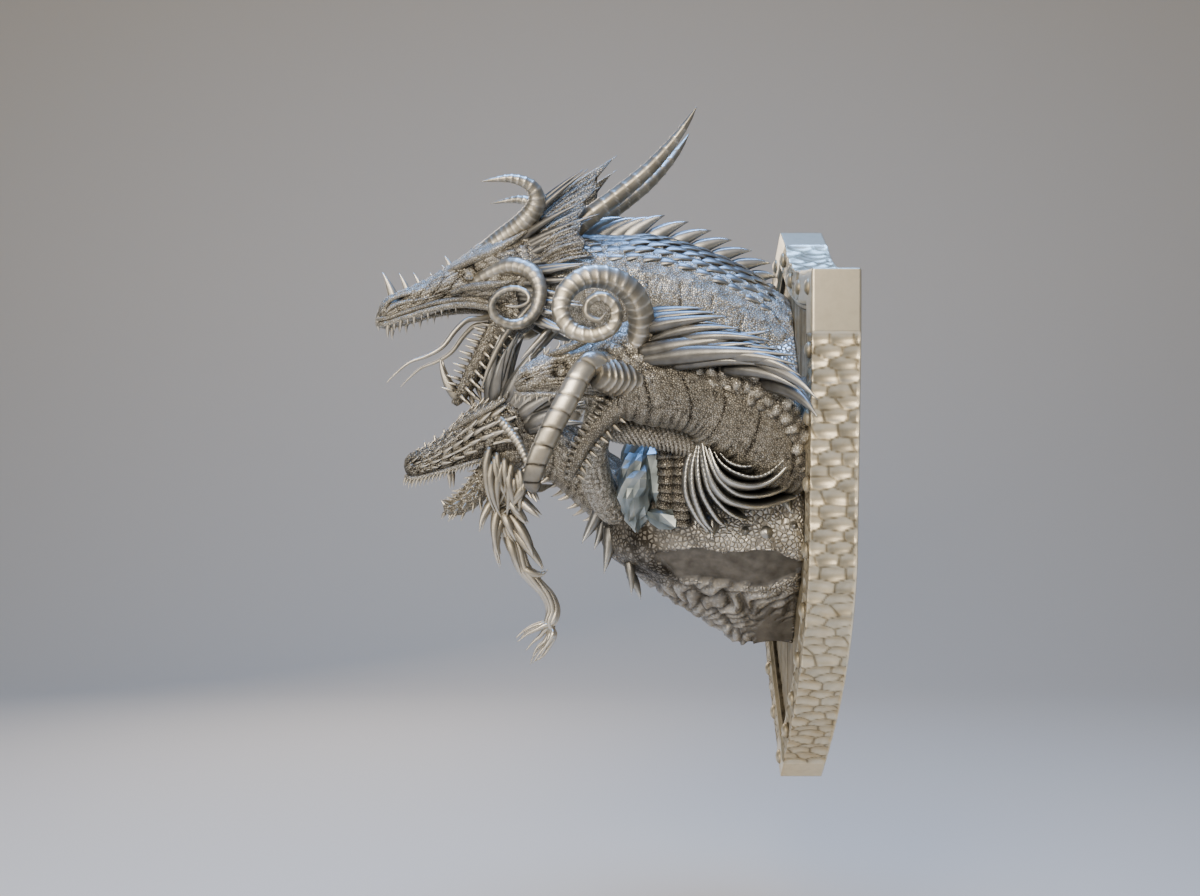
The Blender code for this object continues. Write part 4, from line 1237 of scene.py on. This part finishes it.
def make_beard():
    """The long locks twisted round the trunk, then the side locks and the cheek strands."""
    locks = []
    for number, end in enumerate(BEARD_ENDS):
        knots = []
        for step, (x, forward, up) in enumerate(BEARD_TRUNK):
            swell = 6.6 - 0.2 * step
            angle = number / len(BEARD_ENDS) * 2 * math.pi + 0.35 * step
            forward = forward + swell * 0.8 * math.sin(angle)
            knots.append((x + swell * math.cos(angle), forward, up, 3.1 - 0.08 * step))
        knots += [(*place, 2.7 - 0.8 * step) for step, place in enumerate(end)]
        locks.append(tube(knots, 90, 8, square=1.2, tone=(0.55, 0.8)))
    piece("beard_long_locks", locks, horn_metal)

    short = [taper(base, tip, 3.6, 2.8, bow=bow, along=22, around=9, square=1.1, tone=(0.3, 0.85),
                   belly=1.1) for base, tip, bow in BEARD_SIDE_LOCKS]
    for number in range(16):
        spread = number / 15
        base = (25 - 3 * spread, 277 - 30 * spread, 44 - 22 * spread + 6 * math.sin(number * 2.1))
        tip = (10 + 2 * math.sin(number), 262 + 8 * math.sin(number * 1.4),
               -2 - 12 * math.sin(number * 0.9) ** 2)
        short.append(taper(base, tip, 2.6, 2.0, bow=(6, 6 - 12 * spread, 0), along=16, tone=(0.35, 0.8),
                           belly=1.2))
    both_sides("beard_side_locks", short, horn_metal)


make_beard()

# The side heads.
# Each is cast in one with its thick neck and looks ahead: a scaled snout, a curled horn above the
# cheek, and a great banded horn that hangs down past the mouth and turns inward.
SIDE_SKULL = [
    (122, 140, 106, 30, 31), (123, 154, 111, 30, 30), (126, 172, 110, 27, 27), (129, 190, 105, 23, 22),
    (131, 206, 102.5, 19, 18), (133, 220, 101, 16, 16), (134, 232, 98, 13.5, 12.5),
    (134.5, 240, 95.5, 11, 10), (134.5, 245, 94, 7, 6.5), (134.5, 248, 93.5, 2, 2),
]
SIDE_MARKS = [
    ((149, 213, 103), 7, 4.5, 0.35), ((148, 196, 96), 9, -2.5, 0.0), ((145, 238, 98), 3, 3, 0.35),
]
SIDE_JAW = [
    (124, 156, 88, 22, 16), (126, 170, 80, 18, 12), (128, 182, 69, 14, 9), (130, 193, 56, 11, 7.5),
    (131, 201, 42, 8.5, 6), (131, 206, 30, 6, 4.5), (131, 208, 23, 2, 2),
]
SIDE_LIMB = [
    (116, 178, 86, 13), (112, 186, 66, 11), (100, 190, 44, 10), (80, 187, 22, 11), (56, 178, 4, 12),
    (38, 168, -6, 11),
]
SIDE_LIP = [
    (136, 247, 88, 1.6), (143, 241, 86, 1.8), (147, 228, 86, 1.9), (150, 212, 85, 2), (153, 196, 84, 2),
    (155, 182, 82, 1.6),
]
SIDE_BROW = [
    (140, 228, 113, 1), (146, 216, 117, 2.6), (151, 202, 122, 3.2), (154, 186, 130, 2.6),
    (154, 174, 136, 1),
]
SIDE_JAW_EDGE = [(144, 182, 76), (143, 192, 63), (140, 202, 49), (136, 209, 36), (132, 212, 27)]
SIDE_RIDGE = ((155, 175, 196, 219, 236, 245), (141, 136, 125, 119, 109, 100))
RAM_HORN = [
    (134, 168, 106, 9), (143, 160, 120, 9.6), (150, 155, 137, 9.8), (156, 160, 156, 9.4),
    (160, 176, 168, 9), (163, 195, 169, 8.5), (166, 209, 159, 7.8), (168, 213, 144, 7.2),
    (170, 205, 131, 6.6), (172, 190, 127, 6), (174, 176, 133, 5.4), (175, 174, 146, 4.7),
    (176, 183, 154, 4), (177, 193, 150, 3.3), (178, 194, 141, 2.6), (179, 186, 137, 1.8),
    (180, 181, 142, 0.4),
]
DOWN_HORN = [
    (140, 166, 100, 9), (150, 180, 106, 9.6), (158, 192, 107, 9.6), (163, 200, 98, 9.6),
    (166, 206, 86, 9.5), (168, 212, 75, 9.4), (170, 217.5, 65, 9.2), (171, 222, 55, 9),
    (171, 226.5, 45, 8.8), (169, 230.5, 35, 8.4), (163, 233, 26, 7.4), (154, 233, 20, 5.8),
    (144, 229, 18, 3.8), (134, 223, 19, 1.6), (130, 219, 20, 0.3),
]
HORN_ROOT = [
    (134, 150, 94, 11, 12), (142, 160, 97, 13, 14), (148, 170, 98, 13.4, 14), (153, 180, 99, 12.6, 13),
    (157, 188, 101, 10.5, 11),
]


def side_teeth():
    """The teeth, the spines behind the jaw, and those along the brow and the skull's ridge."""
    teeth = tooth_row(SIDE_LIP, np.linspace(0.04, 0.9, 14), (7, 7, 4), (0.1, 0.2, -1), 0.17)
    teeth += tooth_row(SIDE_JAW_EDGE, np.linspace(0, 0.95, 11), (5, 6, 6), (0.2, 0.8, 0.5), 0.18)
    shares = np.linspace(0, 1, 11)
    for number, (share, place) in enumerate(zip(shares, along_line(SIDE_JAW[1:6], shares))):
        base = place + (9 - 6 * share, -10 + 6 * share, -3)
        tip = base + (2.5, -5.5 - math.sin(number * 2.7), -4.5 + 2 * math.sin(number * 1.3))
        teeth.append(taper(base, tip, 1.8, 1.3, along=7, around=6, tone=(0.2, 0.75)))
    teeth += spines_along(SIDE_BROW, 0.05 + 0.15 * np.arange(7), (2, -4, 7), 2, 1.4)
    for forward in range(236, 169, -11):
        up = np.interp(forward, *SIDE_RIDGE)
        teeth.append(taper((133, forward, up - 4), (133, forward + 1, up + 6), 2.4, 2, along=7))
    return teeth


def make_side_head():
    """Skull, jaw, limb, eye, lip, brow and teeth, then the horns and the ringed root under them."""
    skull_parts = [skull(SIDE_SKULL, 100, 110, SIDE_MARKS, 5.2, 5, 0.12)]
    both_sides("side_head_skull", skull_parts, hide_metal)

    def jaw_relief(distance, angle, share, width):
        front = smoothstep(0.1, 0.5, np.sin(angle))
        rib = 0.5 + 0.5 * np.sin(distance / 4.6 * 2 * np.pi)
        return 1.8 * rib * front, 0.5 * (1 - front) + (0.2 + 0.6 * rib) * front

    def limb_relief(distance, angle, share, width):
        near, second, number = cells(distance / 5, angle / (2 * np.pi) * 14, 14, 51)
        bump = smoothstep(0.0, 0.4, second - near) * (0.5 + 0.5 * number)
        return 1.5 * bump, 0.38 + 0.42 * bump + 0.15 * share

    jaw = tube(SIDE_JAW, 72, 40, up=(0, 1, 0.6), square=0.8, relief=jaw_relief)
    limb = tube(SIDE_LIMB, 90, 48, up=(0, 1, 0.6), square=0.9, relief=limb_relief)
    both_sides("side_head_jaw", [jaw, limb], hide_metal)
    features = [*eye(145.5, 213, 103, 3.2), tube(SIDE_LIP, 60, 10, tone=(0.7, 0.5)),
                tube(SIDE_BROW, 40, 10, tone=(0.5, 0.7))]
    both_sides("side_head_features", features, hide_metal)
    both_sides("side_head_teeth", side_teeth(), horn_metal)
    horns = [
        tube(RAM_HORN, 210, 16, up=(1, 0, 0), square=1.35, relief=ringed(6.6, 0.6, 0.46, 0.45, 2)),
        tube(DOWN_HORN, 150, 18, up=(1, 0, 0), square=1.35, relief=ringed(13, -0.7, 0.86, -0.5, 3, -0.5)),
        tube(HORN_ROOT, 64, 20, up=(1, 0, 0), square=1.3, relief=ringed(4.8, 1.0, 0.3, 0.5, 4)),
    ]
    both_sides("side_head_horns", horns, horn_metal)


make_side_head()

# Manes, lumps and skin folds of the side necks.
# Long cast blades sweep back over the neck to the plaque, knotted lumps run beneath them, and rolls
# of skin hang under the neck and wrap round to the chest. All are rooted in the hide.
MANE_LAYERS = 3
MANE_BLADES = [
    ((150, 155, 133), (165, 93, 141), (3, 2, 1), 6), ((150, 157, 117), (171, 64, 130), (4, 0, -1), 8),
    ((154, 130, 112), (174, 74, 121), (3, 2, 2), 6), ((149, 156, 111), (181, 45, 112), (6, 0, 3), 8),
    ((158, 114, 113), (185, 46, 105), (4, 0, 3), 7), ((158, 100, 114), (188, 43, 96), (4, 0, 5), 7),
    ((156, 86, 108), (197, 34, 80), (4, -2, 7), 7.5), ((152, 68, 95), (195, 34, 68), (3, -2, 5), 7.5),
    ((146, 150, 124), (168, 84, 132), (4, 3, 4), 6), ((150, 140, 121), (174, 60, 122), (5, 2, 5), 6),
    ((152, 132, 106), (176, 60, 104), (5, 0, 4), 5), ((154, 96, 104), (186, 42, 86), (4, 0, 5), 6),
]
NECK_LUMPS = [
    (134, 150, 92, 5), (141, 122, 97, 6), (146, 92, 98, 7.5), (147, 72, 93, 8), (146, 56, 81, 8.5),
    (142, 44, 66, 9), (136, 37, 48, 8), (128, 34, 34, 5),
]
LOW_LUMPS = [
    (138, 140, 86, 2), (143, 116, 89, 3), (146, 92, 88, 3.4), (148, 72, 82, 3.4), (147, 56, 70, 2),
]
SKIN_ROLLS = [
    ([(98, 112, 50), (98, 119, 36), (98, 120, 14), (96, 112, -4), (95, 104, -14)], 3.0, 12),
    ([(103, 112, 50), (104, 116, 32), (104, 115, 14), (101, 108, -4), (98, 102, -12)], 3.0, 13),
    ([(108, 111, 50), (109, 112, 32), (109, 109, 14), (106, 100, -2), (103, 94, -8)], 2.8, 13),
    ([(112, 110, 50), (114, 108, 32), (114, 104, 17), (112, 96, 6), (108, 88, 0), (102, 78, -3)], 2.6, 13),
    ([(116, 109, 49), (119, 106, 32), (120, 101, 19), (119, 93, 10), (116, 82, 6), (111, 70, 5),
      (105, 56, 8), (100, 42, 12)], 3.4, 14),
    ([(121, 107, 47), (124, 102, 32), (125, 96, 22), (124, 86, 14), (121, 74, 12), (116, 60, 14),
      (110, 47, 20), (106, 38, 28)], 2.6, 12),
    ([(126, 104, 45), (130, 99, 31), (131, 92, 23), (131, 82, 19), (129, 70, 19), (128, 58, 24),
      (126, 46, 36), (122, 36, 50)], 3.2, 12),
    ([(131, 100, 42), (135, 95, 34), (137, 86, 28), (137, 74, 25), (136, 62, 28), (134, 50, 38)], 1.6, 8),
    ([(136, 96, 42), (139, 90, 36), (141, 82, 33), (141, 74, 33)], 1.4, 6),
]
BELLY_STRIP = [
    (100, 176, 62, 8), (103, 160, 60, 10), (104, 140, 58, 11), (104, 122, 52, 10), (102, 110, 44, 6),
]
DARK_STRIPS = (
    [(84, 134, 52, 7), (85, 132, 30, 8), (84, 132, 10, 8), (80, 136, -10, 6)],
    [(94, 122, 52, 7), (95, 121, 30, 8), (94, 122, 10, 8), (90, 122, -12, 6)],
)


def roll(points, half_width, depth):
    """A roll of skin that faces the camera side: a bright crown on a dark valley floor."""
    sizes = np.interp(np.linspace(0, 1, len(points)), (0, 0.25, 0.8, 1), (0.5, 1, 1, 0.6))
    knots = [(*point, half_width * size, depth) for point, size in zip(points, sizes)]

    def relief(distance, angle, share, width):
        crown = np.maximum(np.sin(angle), 0) ** 2
        return 0.25 * np.sin(distance * 1.9) * crown, 0.2 + 0.75 * crown

    return tube(knots, 60, 16, up=(1, 0, 0), relief=relief)


def make_manes():
    """Blades in three layers, each farther in and higher than the last, then the lumps and strands."""
    blades = []
    for layer in range(MANE_LAYERS):
        for number, (root, tip, bow, size) in enumerate(MANE_BLADES):
            root, tip = np.array(root, float), np.array(tip, float)
            back = np.array((-9.0, 4 * math.sin(number * 2.3), 5.0)) * layer
            tip = root + (tip - root) * (1 - 0.13 * layer * (1 + 0.5 * math.sin(number * 1.7)))
            blades.append(taper(root + back, tip + back, size * 0.72, 3.4, bow=bow, along=22, around=10,
                                square=1.4, tone=(0.2, 0.65), belly=1.25))
    both_sides("side_mane_blades", blades, blade_metal)

    def knotted(distance, angle, share, width):
        near, second, number = cells(distance / 9, angle / (2 * np.pi) * 5, 5, 31)
        lump = smoothstep(0.0, 0.6, second - near) * (0.4 + number)
        return 4.2 * lump, 0.34 + 0.42 * lump

    lumps = [tube(NECK_LUMPS, 90, 26, relief=knotted, cut=seat_cut),
             tube(LOW_LUMPS, 80, 14, relief=knotted)]
    for number in range(8):
        start = np.array((141 + 0.6 * number, 142 - 9 * number, 101 - 1.6 * number))
        middle = start + (5, -18, 1 - 2.5 * math.sin(number))
        end = middle + (1, -20, -7 - 0.8 * number)
        lumps.append(tube([(*start, 1.4), (*middle, 2.6), (*end, 0.4)], 30, 10, tone=(0.3, 0.8)))
    both_sides("side_neck_lumps", lumps, hide_metal)


def make_folds():
    """Nested rolls that hang from one point under the neck, ribbed belly skin and dark strips."""
    both_sides("side_neck_folds", [roll(*values) for values in SKIN_ROLLS], blade_metal)

    def ribs(distance, angle, share, width):
        wave = 0.5 + 0.5 * np.sin((distance + 7 * np.sin(angle)) / 3.6 * 2 * np.pi)
        return 1.3 * wave, 0.3 + 0.55 * wave

    def rings(distance, angle, share, width):
        saw = distance / 6.5 - np.floor(distance / 6.5)
        return 1.8 * saw * np.abs(np.cos(angle * 2.5)), 0.1 + 0.45 * saw

    strips = [tube(BELLY_STRIP, 110, 26, relief=ribs)]
    strips += [tube(strip, 70, 20, relief=rings) for strip in DARK_STRIPS]
    both_sides("chest_ribbed_strips", strips, hide_metal)


make_manes()
make_folds()

# Thorns, cones and shards of the chest.
# Cast thorns hang from its front edge, cones and blunt knobs stand on each flank among the pebbles,
# and faceted shards fill the gap between the low neck and the strips.
THORNS = [
    ((36, 183, 2), (41, 200, -30), 6), ((38, 176, -16), (42, 182, -54), 6),
    ((30, 172, -22), (38, 173, -42), 5), ((44, 162, -44), (48, 160, -70), 4),
    ((20, 180, -8), (24, 190, -36), 5), ((26, 160, -56), (30, 152, -76), 4),
]
CONES = [
    ((88, 81, 7), (99, 77, -9), 7), ((88, 98, -6), (101, 100, -22), 6), ((88, 45, 16), (101, 40, -2), 7),
    ((86, 66, 0), (96, 68, -10), 5), ((86, 112, 2), (98, 112, -12), 5), ((86, 50, -14), (95, 50, -26), 4),
]
KNOBS = [(86, 58, -18, 8.5), (88, 37, -12, 4), (88, 74, -16, 3.4), (90, 90, -10, 3)]
SHARDS = (
    ([(66, 150, 56, 4), (72, 154, 44, 10), (76, 158, 26, 14), (76, 158, 8, 13), (70, 156, -8, 8),
      (66, 154, -18, 2)], 14, 18),
    ([(74, 150, -2, 3), (84, 140, -6, 8), (88, 128, -8, 9), (84, 120, -10, 3)], 5, 7),
    ([(70, 146, 52, 3), (78, 144, 34, 7), (80, 142, 14, 6), (74, 140, 2, 2)], 5, 6),
)


def make_chest_trim():
    """Thorns, cones, blunt knobs and shards."""
    thorns = [taper(base, tip, size, size * 0.8, bow=(1, -1, 0), along=16, around=12, square=1.2,
                    tone=(0.3, 0.85)) for base, tip, size in THORNS]
    thorns += [taper(base, tip, size, size, along=14, around=12, square=1.2, tone=(0.35, 0.8))
               for base, tip, size in CONES]
    for x, forward, up, size in KNOBS:
        steps = ((-4, size), (2, size), (8, size * 0.85), (12, size * 0.4), (13, 0.2))
        knots = [(x + out, forward, up, radius) for out, radius in steps]
        thorns.append(tube(knots, 14, 20, tone=(0.2, 0.6)))
    both_sides("chest_thorns", thorns, blade_metal)

    def faceted(distance, angle, share, width):
        number = hashed(np.round(distance), np.round(angle * 3), 41)
        return 4.4 * number - 2.2, 0.35 + 0.5 * number

    shards = [tube(knots, along, around, up=(1, 0, 0), relief=faceted) for knots, along, around in SHARDS]
    both_sides("chest_shards", shards, shard_metal_cool_reflection, smooth=False)


make_chest_trim()
